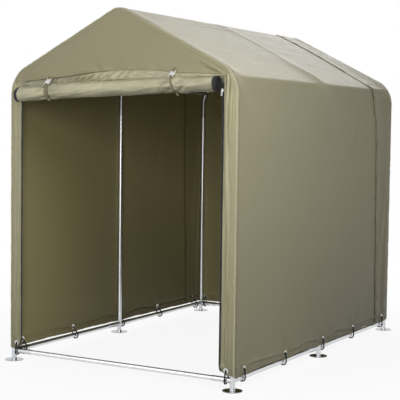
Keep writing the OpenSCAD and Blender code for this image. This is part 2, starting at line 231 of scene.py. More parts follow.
def tidy(obj, thickness=0.0, weld=True, angle=50, lined=False):
    """Welds, thickens and marks the sharp edges of a piece, with no modifier left on it.

    A lined piece takes the cover's cloth outside, where its normals point, and the lining inside.
    """
    if weld:
        edit(obj.data, lambda bm: bmesh.ops.remove_doubles(bm, verts=bm.verts, dist=1e-5),
             lambda bm: bmesh.ops.dissolve_degenerate(bm, edges=bm.edges, dist=1e-6))
    if lined:
        for material in (COVER, LINING):
            obj.data.materials.append(material)
    if thickness:
        solid = obj.modifiers.new("thick", "SOLIDIFY")
        solid.thickness, solid.offset = thickness, 0
        solid.material_offset = 1 if lined else 0
        done = obj.evaluated_get(bpy.context.evaluated_depsgraph_get())
        mesh = bpy.data.meshes.new_from_object(done)
        obj.modifiers.clear()
        obj.data = mesh
    obj.data.set_sharp_from_angle(angle=math.radians(angle))
    return obj


def tube(name, path, radius, sides=8, closed=False, along=None):
    """A round cord along points; radius may change along it."""
    path = np.asarray(path, float)
    ahead = np.roll(path, -1, 0) - np.roll(path, 1, 0) if closed else np.gradient(path, axis=0)
    ahead /= np.linalg.norm(ahead, axis=1)[:, None]
    up = np.array([0.0, 0.0, 1.0]) if along is None else np.asarray(along, float)
    out = np.cross(ahead, up)
    out /= np.linalg.norm(out, axis=1)[:, None]
    up = np.cross(out, ahead)
    radius = np.broadcast_to(radius, len(path))
    if closed:
        path, out, up = (np.vstack([x, x[:1]]) for x in (path, out, up))
        radius = np.append(radius, radius[:1])
    turn = np.linspace(0, math.tau, sides, endpoint=False)
    ring = np.cos(turn)[None, :, None] * out[:, None] + np.sin(turn)[None, :, None] * up[:, None]
    points = path[:, None] + radius[:, None, None] * ring
    length = np.concatenate([[0], np.cumsum(np.linalg.norm(np.diff(path, axis=0), axis=1))])
    uv = np.stack(np.meshgrid(length, np.arange(sides + 1) / sides, indexing="ij"), 2)
    obj = grid(name, points, uv, ring=True)
    if not closed:
        edit(obj.data, lambda bm: bmesh.ops.holes_fill(
            bm, edges=[e for e in bm.edges if e.is_boundary]))
    return obj


def join(name, objects):
    """One object out of several meshes."""
    target = objects[0]
    with bpy.context.temp_override(active_object=target, selected_editable_objects=objects):
        bpy.ops.object.join()
    target.name = target.data.name = name
    return target


def rounded(width, height, radius, at=(0.0, 0.0), corners=6):
    """Outline of a rectangle with round corners, its middle at a point."""
    points = []
    for k, (sx, sy) in enumerate([(1, 1), (-1, 1), (-1, -1), (1, -1)]):
        for i in range(corners + 1):
            a = math.pi / 2 * (k + i / corners)
            points.append((at[0] + sx * (width / 2 - radius) + radius * math.cos(a),
                           at[1] + sy * (height / 2 - radius) + radius * math.sin(a)))
    return points


def plate(name, outlines, thickness, bevel, place):
    """A flat plate with holes and rounded edges, put in place by a matrix."""
    curve = bpy.data.curves.new(name, "CURVE")
    curve.dimensions, curve.fill_mode = "2D", "BOTH"
    curve.extrude, curve.bevel_depth, curve.bevel_resolution = thickness / 2 - bevel, bevel, 2
    curve.offset = -bevel
    for points in outlines:
        spline = curve.splines.new("POLY")
        spline.points.add(len(points) - 1)
        spline.points.foreach_set("co", [c for x, y in points for c in (x, y, 0, 1)])
        spline.use_cyclic_u = True
    holder = bpy.data.objects.new(name, curve)
    mesh = bpy.data.meshes.new_from_object(holder)
    bpy.data.objects.remove(holder)
    mesh.transform(place)
    obj = placed(name, mesh)
    edit(mesh, lambda bm: bmesh.ops.remove_doubles(bm, verts=bm.verts, dist=1e-6))
    mesh.set_sharp_from_angle(angle=math.radians(35))
    return obj


def lean(origin, x_axis, y_axis):
    """Matrix whose X and Y follow two directions."""
    x, y = Vector(x_axis).normalized(), Vector(y_axis).normalized()
    z = x.cross(y).normalized()
    y = z.cross(x)
    return Matrix.Translation(Vector(origin)) @ Matrix((x, y, z)).transposed().to_4x4()


# ---------------------------------------------------------------- materials
class Nodes:
    """A node tree that nodes are added to by calls."""

    def __init__(self, owner):
        owner.use_nodes = True
        self.tree = owner.node_tree

    def add(self, kind, inputs=(), **settings):
        node = self.tree.nodes.new(kind)
        for key, value in settings.items():
            setattr(node, key, value)
        for key, value in dict(inputs).items():
            self.set(node, key, value)
        return node

    def set(self, node, key, value):
        if isinstance(value, bpy.types.NodeSocket):
            self.tree.links.new(value, node.inputs[key])
        else:
            node.inputs[key].default_value = value

    def math(self, operation, a, b=0.0, c=0.0):
        return self.add("ShaderNodeMath", {0: a, 1: b, 2: c}, operation=operation).outputs[0]


class Shader(Nodes):
    """A Principled material."""

    def __init__(self, name):
        self.material = bpy.data.materials.new(name)
        super().__init__(self.material)
        self.main = self.tree.nodes["Principled BSDF"]
        where = self.add("ShaderNodeTexCoord")
        self.uv, self.place = where.outputs["UV"], where.outputs["Object"]

    def times(self, a, b):
        return self.math("MULTIPLY", a, b)

    def wave(self, value, per_unit):
        return self.math("SINE", self.times(value, per_unit))

    def attribute(self, name):
        return self.add("ShaderNodeAttribute", attribute_name=name).outputs["Fac"]

    def noise(self, scale, detail=3.0, where=None, distortion=0.0, roughness=0.55):
        inputs = {"Vector": where or self.place, "Scale": scale, "Detail": detail,
                  "Roughness": roughness, "Distortion": distortion}
        return self.add("ShaderNodeTexNoise", inputs).outputs["Fac"]

    def stretched(self, where, scale):
        node = self.add("ShaderNodeMapping", {"Vector": where, "Scale": scale})
        return node.outputs["Vector"]

    def around(self, value, amount, base=1.0):
        """base plus amount times the value's distance from one half."""
        if isinstance(base, bpy.types.NodeSocket):
            return self.math("ADD", base, self.math("MULTIPLY_ADD", value, amount, -amount / 2))
        return self.math("MULTIPLY_ADD", value, amount, base - amount / 2)

    def colour(self, rgb, shade):
        scaled = self.add("ShaderNodeVectorMath", {0: rgb, "Scale": shade}, operation="SCALE")
        self.set(self.main, "Base Color", scaled.outputs["Vector"])

    def bump(self, height, strength=1.0):
        node = self.add("ShaderNodeBump", {"Height": height, "Strength": strength, "Distance": 1.0})
        self.set(self.main, "Normal", node.outputs["Normal"])


def linear(r, g, b):
    """sRGB 0 to 255 as the linear values that a shader takes."""
    return [((c / 255 + 0.055) / 1.055) ** 2.4 if c > 10 else c / 255 / 12.92 for c in (r, g, b)]


def cloth(name, rgb, thread=0.0016, roughness=0.56, crumple=1.0):
    """Coated woven polyester: crossed threads, soft creases and uneven dye; the tone attribute
    darkens it along stitching and carries painted shade and painted highlights.
    """
    m = Shader(name)
    split = m.add("ShaderNodeSeparateXYZ", {0: m.uv})
    weave = m.times(*(m.wave(split.outputs[k], math.tau / thread) for k in (0, 1)))
    cloudy = m.noise(1.7, 3.0)
    fine = m.noise(55.0, 4.0)
    slubs = m.noise(1.0, 2.0, m.stretched(m.uv, (240.0, 9.0, 1.0)))
    soft = m.noise(7.0, 3.0, distortion=0.4)
    crease = m.noise(1.0, 4.0, m.stretched(m.uv, (34.0, 11.0, 1.0)), distortion=0.8)
    crease = m.math("ABSOLUTE", m.math("SUBTRACT", crease, 0.5))
    shade = m.times(m.around(cloudy, 0.08), m.around(fine, 0.06))
    shade = m.times(shade, m.around(slubs, 0.06))
    shade = m.math("MULTIPLY_ADD", weave, 0.025, shade)
    # The tone attribute brings darker stitching, painted shade and painted highlights into the
    # colour.
    m.colour(linear(*rgb), m.times(shade, m.attribute("tone")))
    m.set(m.main, "Roughness", m.around(fine, 0.16, roughness))
    m.set(m.main, "Specular IOR Level", 0.38)
    m.set(m.main, "Sheen Weight", 0.05)
    m.set(m.main, "Sheen Roughness", 0.4)
    height = m.times(weave, 0.00006)
    rough = m.math("MULTIPLY_ADD", soft, 0.0014, m.times(crease, 0.0062))
    height = m.math("MULTIPLY_ADD", rough, m.times(m.attribute("crumple"), crumple), height)
    height = m.math("MULTIPLY_ADD", fine, 0.00010, height)
    m.bump(height, 0.9)
    return m.material


DISC_TOP = 0.0034  # height up to which a foot's disc is painted darker, a painted reflection, and is smoother


def metal(name, rgb, roughness, spangle=0.12, dark_foot=False, wear=0.0, metallic=1.0):
    """Plated metal with faint crystals, drawn lines and handling marks.

    The disc of a dark foot is smoother than its upright, and its colour is darker as a painted
    reflection of its dark surroundings.
    """
    m = Shader(name)
    crystals = m.add("ShaderNodeTexVoronoi", {"Vector": m.place, "Scale": 130.0}).outputs["Color"]
    grey = m.add("ShaderNodeSeparateXYZ", {0: crystals}).outputs[0]
    smudge = m.noise(14.0, 5.0)
    scratch = m.noise(1.0, 2.0, m.stretched(m.place, (900.0, 900.0, 25.0)))
    shade = m.times(m.around(grey, spangle), m.around(smudge, 0.16 + wear))
    spread, matt = 0.18, roughness
    if dark_foot:
        spread = 0.12
        height = m.add("ShaderNodeSeparateXYZ", {0: m.place}).outputs[2]
        # Painted reflection: the disc's colour is made darker, and its finish smoother.
        dark, matt = (m.add("ShaderNodeMapRange", {0: height, 1: DISC_TOP, 2: DISC_TOP + 0.0012,
                                                   3: on_disc, 4: above}).outputs[0]
                      for on_disc, above in ((0.62, 1.0), (0.14, roughness)))
        shade = m.times(shade, dark)
    m.colour(linear(*rgb), shade)
    m.set(m.main, "Metallic", metallic)
    m.set(m.main, "Roughness", m.around(smudge, spread, matt))
    m.bump(m.math("MULTIPLY_ADD", scratch, 0.00002, m.times(smudge, 0.00012)), 0.7)
    return m.material


def webbing(name, rgb, pitch, roughness=0.7, depth=0.0002):
    """Woven tape: ribs across it and finer warp threads along it."""
    m = Shader(name)
    split = m.add("ShaderNodeSeparateXYZ", {0: m.uv})
    ribs = m.wave(split.outputs[0], math.tau / pitch)
    warp = m.wave(split.outputs[1], 4 * math.pi / pitch)
    fuzz = m.noise(160.0, 3.0)
    shade = m.math("MULTIPLY_ADD", m.times(ribs, warp), 0.10, m.around(fuzz, 0.25))
    m.colour(linear(*rgb), m.times(shade, m.attribute("tone")))
    m.set(m.main, "Roughness", m.around(fuzz, 0.2, roughness))
    height = m.math("MULTIPLY_ADD", ribs, depth, m.times(warp, depth / 2))
    m.bump(m.math("MULTIPLY_ADD", fuzz, depth, height), 0.9)
    return m.material


def braid(name, rgb, pitch):
    """Round elastic cord: two sets of threads that cross as they wind round it."""
    m = Shader(name)
    split = m.add("ShaderNodeSeparateXYZ", {0: m.uv})
    along = m.times(split.outputs[0], math.tau / pitch)
    turn = m.times(split.outputs[1], 6 * math.pi)
    cross = m.times(*(m.math("SINE", m.math(way, along, turn)) for way in ("ADD", "SUBTRACT")))
    fuzz = m.noise(220.0, 3.0)
    m.colour(linear(*rgb), m.math("MULTIPLY_ADD", cross, 0.25, m.around(fuzz, 0.5)))
    m.set(m.main, "Roughness", m.around(fuzz, 0.2, 0.7))
    m.bump(m.times(cross, 0.0003), 0.9)
    return m.material


COVER = cloth("cover_cloth", (166, 159, 127), roughness=0.52)
LINING = cloth("cover_inside", (170, 160, 115), roughness=0.62)
BORDER = cloth("border_cloth", (182, 176, 142), roughness=0.48)
ROLL = cloth("door_cloth", (216, 210, 176), roughness=0.40)
PIPING = cloth("piping_cloth", (208, 203, 173), thread=0.0012, crumple=0.4)
STRAP = webbing("strap_webbing", (146, 140, 112), 0.0024)
TAPE = webbing("zip_tape", (24, 24, 25), 0.0014)
COIL = webbing("zip_coil", (20, 20, 21), 0.0022, roughness=0.4, depth=0.0001)
ELASTIC = braid("elastic_cord", (22, 22, 23), 0.005)
TUBE = metal("frame_tube", (216, 218, 220), 0.34)
FITTING = metal("frame_fitting", (190, 192, 196), 0.4, 0.2)
FOOT = metal("frame_foot", (205, 207, 210), 0.3, 0.14, dark_foot=True)
BRIGHT = metal("bright_metal", (252, 252, 252), 0.40, 0.03, metallic=0.30)
EYELET = metal("eyelet_metal", (206, 206, 203), 0.26, 0.05, wear=0.1)


def finish_piece(obj, material, slot, *nodes):
    """A piece's material, unless it brings its own, and what the frame has to know about it."""
    if material is not None:
        obj.data.materials.clear()
        obj.data.materials.append(material)
    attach(obj, "root")
    if nodes:
        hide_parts(*nodes)


# ---------------------------------------------------------------- the cover's surface
# Folds are written as height * where they are * noise(across / width, along / length, seed).
HEM_FOLD = 0.034  # height of the turned hem's stitching
NEAR_FOLD = (-0.002, 0, 0.002)
LAP = 0.024  # how far the main cover runs on under the band
# How far from a rail the cloth is drawn straight: down the wall, up the roof, down from the ridge
WALL_REACH, ROOF_REACH, RIDGE_REACH = 0.18, 0.26, 0.20
BAND_EDGE = (0.722, 0.684, 0.719, 0.760)  # ridge, end of the slope, below the eave, hem


RAIL_GAP = 0.0032  # from a rail's tube to the middle of the cloth over it
INNER = (EAVE_X / 2, 0.9)  # a point well inside, which tells a rail's outer side


def taut(x, z, nx, nz, rail, anchors, soft):
    """How far in from the frame's outline cloth lies where it is stretched over a rail."""
    depths = []
    for ax, az in anchors:
        dx, dz = ax - rail[0], az - rail[1]
        far = math.hypot(dx, dz)
        angle = math.atan2(dz, dx)
        open_angle = math.acos((RAIL_R + RAIL_GAP) / far)
        pair = [(math.cos(way), math.sin(way)) for way in (angle - open_angle, angle + open_angle)]
        mx, mz = max(pair, key=lambda m: m[0] * (rail[0] - INNER[0]) + m[1] * (rail[1] - INNER[1]))
        depths.append(((x - ax) * mx + (z - az) * mz) / np.maximum(nx * mx + nz * mz, 0.3))
    deepest = depths[0]
    for depth in depths[1:]:
        deepest = (deepest + depth + np.sqrt((deepest - depth) ** 2 + soft ** 2)) / 2
    return np.maximum(deepest, 0)


def frame_gap(y):
    """Distance to the nearest of the three frames."""
    return np.min([np.abs(y - f) for f in (FRONT_Y, MIDDLE_Y, BACK_Y)], axis=0)


def slack(s, y, mid):
    """How far the cover stands out from where the CAD puts it, at a place on the outline."""
    s, y = np.broadcast_arrays(s, y)
    a = np.abs(s)
    x, z, nx, nz = outline(s)
    x, z, nx = np.abs(x) + mid * np.abs(nx), z + mid * nz, np.abs(nx)
    gap = frame_gap(y)
    wave = np.sin(math.pi * (y - FRONT_Y) / BAY)
    bay, wall_bay = np.sqrt(wave ** 2 + 0.01) - 0.1, wave ** 2
    reach = np.interp(a, [SLOPE_END, EAVE_END, EAVE_END + 0.12], [0.060, 0.085, 0.26])
    open_bay = 1 - bell(gap, reach)
    wall_point = (HALF_W + mid, EAVE_Z - WALL_REACH)
    roof_point, high_point = (
        (float(px) + mid * math.sin(PITCH), float(pz) + mid * math.cos(PITCH))
        for px, pz, _, _ in (outline(SLOPE_END - ROOF_REACH), outline(RIDGE_END + RIDGE_REACH)))
    mirrored = (-high_point[0], high_point[1])
    at_eave = (a > SLOPE_END - ROOF_REACH) & (a < EAVE_END + WALL_REACH)
    at_ridge = a < RIDGE_END + RIDGE_REACH
    push = np.where(at_eave, -taut(x, z, nx, nz, EAVE_RAIL, (wall_point, roof_point), 0.0012), 0.0)
    push += np.where(at_ridge, -taut(x, z, nx, nz, RIDGE_RAIL, (high_point, mirrored), 0.004), 0.0)
    push *= 0.94 * open_bay
    roof = np.clip((a - RIDGE_END) / SLOPE, 0, 1)
    wall = np.clip((a - EAVE_END) / WALL, 0, 1)
    on_roof, on_wall = np.sin(math.pi * roof), np.sin(math.pi * wall) * (a > EAVE_END)
    push -= 0.0046 * bay * on_roof + 0.0030 * wall_bay * on_wall
    over_frame = step(roof, 0.02, 0.1) * step(EAVE_END + 0.10 - a, 0.0, 0.12)
    push += 0.0009 * bell(y - MIDDLE_Y, 0.012) * over_frame
    rest = step(gap, 0.004, 0.03)
    side = np.where(s < 0, 40, 0)  # so that the two walls differ
    push += rest * on_roof * 0.0022 * noise(s / 0.16, y / 0.30, 11)
    push += on_wall * 0.0030 * step(gap, 0.0, 0.22) * noise(s / 0.34, (y + side) / 0.30, 12)
    # Long fine wrinkles from front to back on the roof, most of them near the ridge
    near_ridge = fade(a - RIDGE_END, 0.16) * step(a, 0.008, 0.04)
    fine = 0.0026 * near_ridge + 0.0008 * on_roof
    push += step(gap, 0.0, 0.02) * fine * noise(s / 0.020, y / 0.26, 13)
    push += 0.0016 * on_roof * (folds(s / 0.05, y / 0.34, 14) - 0.3)
    # Puckers along the band's front edge, wider on the main cover than under the band
    seam = band_edge(s) - y
    puckered = 0.0022 * (0.6 + 0.4 * noise(s / 0.2, 0, 22)) * bell(np.maximum(seam, 0), 0.055)
    push += puckered * bell(np.minimum(seam + 0.01, 0), 0.03) * noise(s / 0.024, y / 0.20, 21)
    return push


def over_tubes(push, y, extra=0.0):
    """The same, kept clear of the frames' round tubes."""
    return np.maximum(push, -0.0003 - extra - frame_gap(y) ** 2 / 0.025)


def band_edge(s):
    """Where the band's front edge runs along the outline."""
    return np.interp(np.abs(s), [0, SLOPE_END + 0.03, EAVE_END + 0.1, OUTLINE], BAND_EDGE)


def hem_pucker(s, y, seeds):
    """Puckers that rise from the hem, short ones and long slanting ones."""
    up = OUTLINE - np.abs(s)
    push = 0.0030 * fade(up, 0.050) * noise(y / 0.034, up / 0.30, seeds[0])
    push += 0.0036 * fade(up, 0.14) * noise((y + 0.5 * up) / 0.10, up / 0.5, seeds[1])
    return push


def hem_wave(y, up, places, seed):
    """How far the hem rises between its eyelets, where nothing draws it down."""
    nearest = np.min([np.abs(y - place) for place in places], axis=0)
    lift = 0.0075 * np.clip(nearest / 0.16, 0, 1) ** 0.8 + 0.0035 * noise(y / 0.055, 0, seed)
    return (lift - 0.002) * fade(up, 0.045)


def hem_swags(y, up, places, seed):
    """Folds that swing from eyelet to eyelet above the hem."""
    push = 0 * up
    for k, (a, b) in enumerate(zip(places[:-1], places[1:])):
        t = (y - a) / (b - a)
        on = (t > 0) & (t < 1)
        t = np.clip(t, 0, 1)
        rise = 0.030 + 0.012 * np.sin(math.pi * t) + 0.006 * noise(y / 0.12, 0, seed + k)
        long = np.sin(math.pi * t) ** 0.4 * on
        push = (push + 0.0058 * long * bell(up - rise, 0.006)
                - 0.0038 * long * bell(up - rise + 0.012, 0.006))
        slanted = rise + 0.05 + (0.16, 0.10, 0.20, 0.12)[k % 4] * (t - 0.1)
        push = push + 0.0020 * on * bell(up - slanted, 0.016) * bell(t - 0.25, 0.25)
    return push * (0.75 + 0.5 * noise(y / 0.09, 0, seed))


def eyelet_folds(across, up, seed):
    """Short folds that fan out from an eyelet, and a flat place for its flange."""
    away = np.hypot(across, up)
    angle = np.arctan2(across, up)
    fan = (noise(angle * 2.6 + 7, 0, seed) * fade(away - 0.014, 0.045)
           * step(away, 0.013, 0.026))
    return 0.0042 * fan * (up > -0.028), step(away, 0.016, 0.040)


def hem_step(up, turned=0.0007, stitched=0.0009):
    """The turned hem stands out by its own thickness, and its stitching is drawn in."""
    return turned * step(HEM_FOLD - up, -0.001, 0.001) - stitched * bell(up - HEM_FOLD, 0.0022)


def hem_tone(up, stitched=0.16, turned=0.10):
    """Darker along the hem's stitching, with painted shade on the doubled cloth below it."""
    return 1 - stitched * bell(up - HEM_FOLD, 0.003) - turned * step(HEM_FOLD - up, 0.0, 0.004)


def crumpling(s, v, up, rest, roof, edge):
    """How creased the cloth is: more on the roof, at the hem and at the piece's front edge."""
    roof = roof * step(EAVE_END - 0.05 - np.abs(s), 0.0, 0.05)
    return rest + roof + 0.9 * fade(up, 0.06) + edge * fade(v, 0.05)


def around_eyelets(push, across, up, places, seed):
    """The same, laid flat round each eyelet, with the folds that fan out from it."""
    for k, place in enumerate(places):
        fan, flat = eyelet_folds(across - place, up, seed + k)
        push = push * flat + fan
    return push


def wall_eyelets(push, s, y, up, places, seeds):
    """The same for both walls; each wall's folds are kept off the other one."""
    for sign, seed in zip((1, -1), seeds):
        other = np.where(s * sign < 0, 1e3, 0)
        push = around_eyelets(push, y + other, up - (EYELET_Z - HEM_Z), places, seed)
    return push


# ---------------------------------------------------------------- main cover
# S runs along the outline from the ridge and V from the front edge; up is the height on the cloth
# above its hem, and push is how far the cloth stands out from where the CAD puts it.
CORNER = COVER_MID * math.pi / 4
rows = spaced(0, OUTLINE, 0.0155, [OUTLINE - HEM_FOLD + d for d in NEAR_FOLD],
              np.linspace(SLOPE_END, EAVE_END, 33), np.linspace(0, 0.10, 11),
              np.linspace(OUTLINE - 0.07, OUTLINE, 11))
s = np.concatenate([-rows[:0:-1], rows])
main_back = float(band_edge(OUTLINE)) - FRONT_Y + LAP
v = spaced(-CORNER, main_back, 0.0165, np.linspace(-CORNER, 0.03, 9),
           [MIDDLE_Y - FRONT_Y + d for d in (-0.02, -0.013, -0.006, 0, 0.006, 0.013, 0.02)],
           [y - FRONT_Y + d for y in SIDE_EYELETS for d in (-0.02, -0.01, 0, 0.01, 0.02)])
S, V = np.meshgrid(s, v, indexing="ij")
V = np.where(V > 0, V * (band_edge(S) + LAP - FRONT_Y) / main_back, V)
turn = np.clip(-V / COVER_MID, 0, None)
Y = FRONT_Y + np.where(V > 0, V, -COVER_MID * np.sin(turn))
x, z, nx, nz = outline(S)
up = OUTLINE - np.abs(S)
push = slack(S, Y, COVER_MID)
seam = band_edge(S) - Y
push += 0.0010 * fade(V, 0.020) * noise(S / 0.013, Y / 0.05, 23) * step(V, 0.0, 0.006)
push += 0.0020 * fade(V, 0.060) * noise(S / 0.040, Y / 0.12, 24) * step(V, 0.0, 0.010)
push += hem_pucker(S, Y, (25, 26)) + hem_swags(Y + 0.01 * np.sign(S), up, SIDE_EYELETS, 28)
# Slanting creases high on the walls towards the back, and a fan from the front eave corners
slant = (Y - 0.44) - 0.22 * (z - 1.05)
push += 0.0026 * bell(slant, 0.020) * bell(z - 1.08, 0.14)
push += 0.0018 * bell(slant - 0.055, 0.016) * bell(z - 1.16, 0.10)
corner = np.hypot(np.abs(S) - (EAVE_END - 0.04), V - 0.01)
spray = noise(np.arctan2(np.abs(S) - (EAVE_END - 0.04), V + 0.02) * 3.4 + 5, 0, 27)
push += 0.0012 * spray * bell(corner - 0.09, 0.07) * step(V, 0.0, 0.03)
push = wall_eyelets(push, S, Y, up, SIDE_EYELETS, (300, 310))
push = push * step(V, -CORNER, 0.012) + hem_step(up)
push = over_tubes(push, Y)
off = np.where(V > 0, COVER_MID + push, COVER_MID * np.cos(turn))
tone = hem_tone(up)
# Painted shade and light: darker towards the hem and most towards the back, lighter part way up the
# walls, and a painted shadow 4 mm in front of the band's edge; below, painted shade in the groove
# along the front edge and where the cover runs on under the band.
tone -= (0.16 * bell(seam - 0.004, 0.004) + (0.10 + 0.34 * step(V, 0.2, 1.4)) * fade(up, 0.50)
         - 0.12 * bell(up - 0.85, 0.40))
tone *= (1 - 0.24 * bell(V - 0.002, 0.004)) * (1 - 0.42 * step(-seam, 0.001, 0.004))
crumple = crumpling(S, V, up, 0.12, 0.55, 0.5) + 0.8 * fade(seam, 0.06)
z = z + hem_wave(Y, up, SIDE_EYELETS, 29) * np.where(S < 0, 0.3, 0.8)
points = np.stack([x + nx * off, Y, z + nz * off], 2)
cover = tidy(grid("main_cover", points, np.stack([S, Y], 2), tone, crumple=crumple), COVER_T,
             lined=True)
finish_piece(cover, None, "cover_cloth", "left_wall_cover", "right_wall_cover", "roof_cover")

# ---------------------------------------------------------------- back cover: band and panel
# V runs back from the band's front edge and round the back frame's corner.
STITCHES = (0.005, 0.016)  # the band's two lines of stitching, from its front edge
band_long = BACK_Y - float(band_edge(SLOPE_END))
v = spaced(0, band_long + CORNER, 0.0125, np.linspace(0, 0.03, 9),
           [STITCHES[1] + d for d in (-0.0015, 0, 0.0015)],
           np.linspace(band_long - 0.02, band_long + CORNER, 9))
S, V = np.meshgrid(s, v, indexing="ij")
edge = band_edge(S)
Y = np.where(V < band_long, edge + V * (BACK_Y - edge) / band_long, BACK_Y)
turn = np.clip((V - band_long) / BAND_MID, 0, None)
x, z, nx, nz = outline(S)
up = OUTLINE - np.abs(S)
push = slack(S, Y, COVER_MID)
ruffle = noise(S / 0.016, V / 0.05, 31) + 0.6 * noise(S / 0.045, V / 0.08, 32)
push += 0.0003 + 0.0019 * fade(V, 0.022) * (1 + ruffle)
below_roof = step(np.abs(S) - SLOPE_END, 0.0, 0.1)
low_wall = step(np.abs(S) - EAVE_END, 0.1, 0.5)
off_corner = step(band_long - V, 0.0, 0.05)
push += 0.0046 * bell(V - 0.026, 0.012) * folds(S / 0.034, V / 0.06, 39) * below_roof
push += 0.0030 * bell(V - 0.06, 0.05) * noise(S / 0.030, V / 0.15, 33)
push += 0.0024 * noise(S / 0.21, V / 0.10, 37) * step(V, 0.02, 0.06) * off_corner
upright = folds((V - 0.10 * up) / 0.038, up / 0.9, 38) - 0.3
push += 0.0062 * low_wall * upright * step(V, 0.01, 0.05) * off_corner
push += 0.0012 * fade(band_long - V, 0.03) * noise(S / 0.015, V / 0.05, 34)
push += hem_pucker(S, Y, (35, 36))
push = wall_eyelets(push, S, Y, up, SIDE_EYELETS[-1:], (320, 330))
push = push * step(band_long - V, 0.0, 0.012) + hem_step(up)
push -= 0.0006 * sum(bell(V - line, 0.0018) for line in STITCHES)
push = over_tubes(push, Y, 0.0012)
off = np.where(V < band_long, BAND_MID + push, BAND_MID * np.cos(turn))
Y = Y + BAND_MID * np.sin(turn)
points = np.stack([x + nx * off, Y, z + nz * off], 2)
stitching = sum(bell(V - line, 0.0022) for line in STITCHES)
# Darker along the stitching; painted shade that grows towards the hem.
tone = hem_tone(up) * (1 - 0.20 * stitching - 0.40 * fade(up, 0.50))
crumple = crumpling(S, V, up, 0.16, 1.10, 0.9)
points[:, :, 2] += hem_wave(Y, up, SIDE_EYELETS, 29) * np.where(S < 0, 0.3, 0.8)
band = tidy(grid("back_band_cover", points, np.stack([S, V], 2), tone, crumple=crumple), COVER_T,
            lined=True)
finish_piece(band, None, "cover_cloth", "back_band")

RIM = 5  # columns of points round each corner of an end
corner_turn = np.linspace(math.pi / 4, 0, RIM + 1)
heights = spaced(HEM_Z, RIDGE_Z + RIDGE_R, 0.016, [HEM_Z + HEM_FOLD + d for d in NEAR_FOLD],
                 np.linspace(HEM_Z, HEM_Z + 0.07, 12), np.linspace(EAVE_Z, RIDGE_Z + RIDGE_R, 40))
a = np.append(outline_at(heights[:-1]), 0.0)
beside = [b / HALF_W + d for b in BACK_EYELETS for d in (-0.02, 0, 0.02)]
across = np.unique(np.concatenate([np.linspace(-1, 1, 91), beside]))


def end_panel(a, across, middle_y, mid, way):
    """Grid over an end of the shelter: rows across it, and a rounded edge on both sides."""
    x, z, nx, nz = (value[:, None] for value in outline(a))
    body = np.stack([x * across + 0 * z, 0 * x * across + middle_y + way * mid, z + 0 * across], 2)
    rims = []
    for sign, turns in ((-1, corner_turn), (1, corner_turn[::-1])):
        bend = turns[:-1] if sign < 0 else turns[1:]
        rims.append(np.stack([sign * (x + nx * mid * np.sin(bend)),
                              middle_y + way * mid * np.cos(bend) + 0 * x,
                              z + nz * mid * np.sin(bend)], 2))
    return np.concatenate([rims[0], body, rims[1]], 1)


points = end_panel(a, across, BACK_Y, COVER_MID + 0.0008, 1)
X, Z = points[:, :, 0], points[:, :, 2]
inside = np.zeros(X.shape)
inside[:, RIM:-RIM] = step(1 - np.abs(across), 0.0, 0.05)[None, :]
up = Z - HEM_Z
push = (0.004 * noise(X / 0.35, Z / 0.5, 41)
        + 0.0035 * folds(X / 0.10, Z / 0.9, 42) * step(Z, 0.2, 1.0))
leaning = folds((np.abs(X) - 0.35 * (Z - 0.9)) / 0.16, Z / 1.1, 46) - 0.3
push += 0.0060 * leaning * step(Z, 0.15, 0.6)
for sign, seed in ((1, 47), (-1, 48)):
    # Folds that fan in from the eave's corner
    from_eave = np.hypot(X - sign * 0.56, Z - EAVE_Z)
    angle = np.arctan2(EAVE_Z - Z, 0.56 - sign * X + 1e-6)
    push += 0.0060 * noise(angle * 4.5 + 4, 0, seed) * bell(from_eave - 0.16, 0.15)
push += (0.0022 * fade(up, 0.055) * noise(X / 0.03, up / 0.3, 43)
         + 0.003 * fade(up, 0.16) * noise(X / 0.11, 0, 44))
push += 0.0016 * noise(X / 0.045, Z / 0.25, 45) * bell(1 - np.abs(X) / HALF_W, 0.15)
push = around_eyelets(push, X, Z - EYELET_Z, BACK_EYELETS, 340) * inside
push += hem_step(up, 0.0006, 0.0)
points[:, :, 1] += np.maximum(push, -0.004 * inside)
panel = tidy(grid("back_end_panel", points, np.stack([X, Z], 2), hem_tone(up, turned=0.08),
                  crumple=0.5 + 0.8 * fade(up, 0.06)), COVER_T, lined=True)
finish_piece(panel, None, "cover_cloth", "back_panel")
wide, tall = 2 * HALF_W + 0.02, RIDGE_Z + RIDGE_R - HEM_Z

# ---------------------------------------------------------------- gable, borders and lip
SEAM_X = [-0.60, -0.553, -0.388, -0.253, -0.133, 0.009, 0.120,
          0.227, 0.269, 0.331, 0.382, 0.484, 0.553, 0.60]
SEAM_Z = [1.3565, 1.358, 1.372, 1.383, 1.398, 1.408, 1.406,
          1.402, 1.397, 1.391, 1.391, 1.384, 1.380, 1.379]


def seam_z(x):
    """The fold above the rolled door, smoothed between measured places."""
    around = np.linspace(-0.025, 0.025, 9)
    return np.mean([np.interp(x + d, SEAM_X, SEAM_Z) for d in around], axis=0)


def corner_strip(px, pz, nx, nz, y, mid):
    """The last part of an end panel, bent back round the tube to the piping."""
    bend = corner_turn[::-1][1:]
    return np.stack([px[..., None] + nx[..., None] * mid * np.sin(bend),
                     y - mid * np.cos(bend) + 0 * px[..., None],
                     pz[..., None] + nz[..., None] * mid * np.sin(bend)], -1)


s_left, s_right = -float(outline_at(SEAM_LEFT)), float(outline_at(SEAM_RIGHT))
s = np.concatenate([spaced(s_left, 0, 0.0085)[:-1], spaced(0, s_right, 0.0085)])
x, z, nx, nz = outline(s)
low = np.minimum(seam_z(x), z)
f = np.concatenate([np.linspace(0, 0.7, 14)[:-1], np.linspace(0.7, 1, 22)])
top = corner_strip(x, z, nx, nz, FRONT_Y, COVER_MID)[:, ::-1]
X = x[:, None] + 0 * f
Z = z[:, None] + (low - z)[:, None] * f
drop = z[:, None] - Z
rise = Z - low[:, None]
push = 0.0016 * noise(X / 0.30, Z / 0.20, 51) * step(drop, 0.01, 0.10)
push += 0.0008 * fade(drop - 0.006, 0.018) * noise(s[:, None] / 0.014, drop / 0.05, 52)
push -= 0.0005 * bell(drop - 0.010, 0.003)
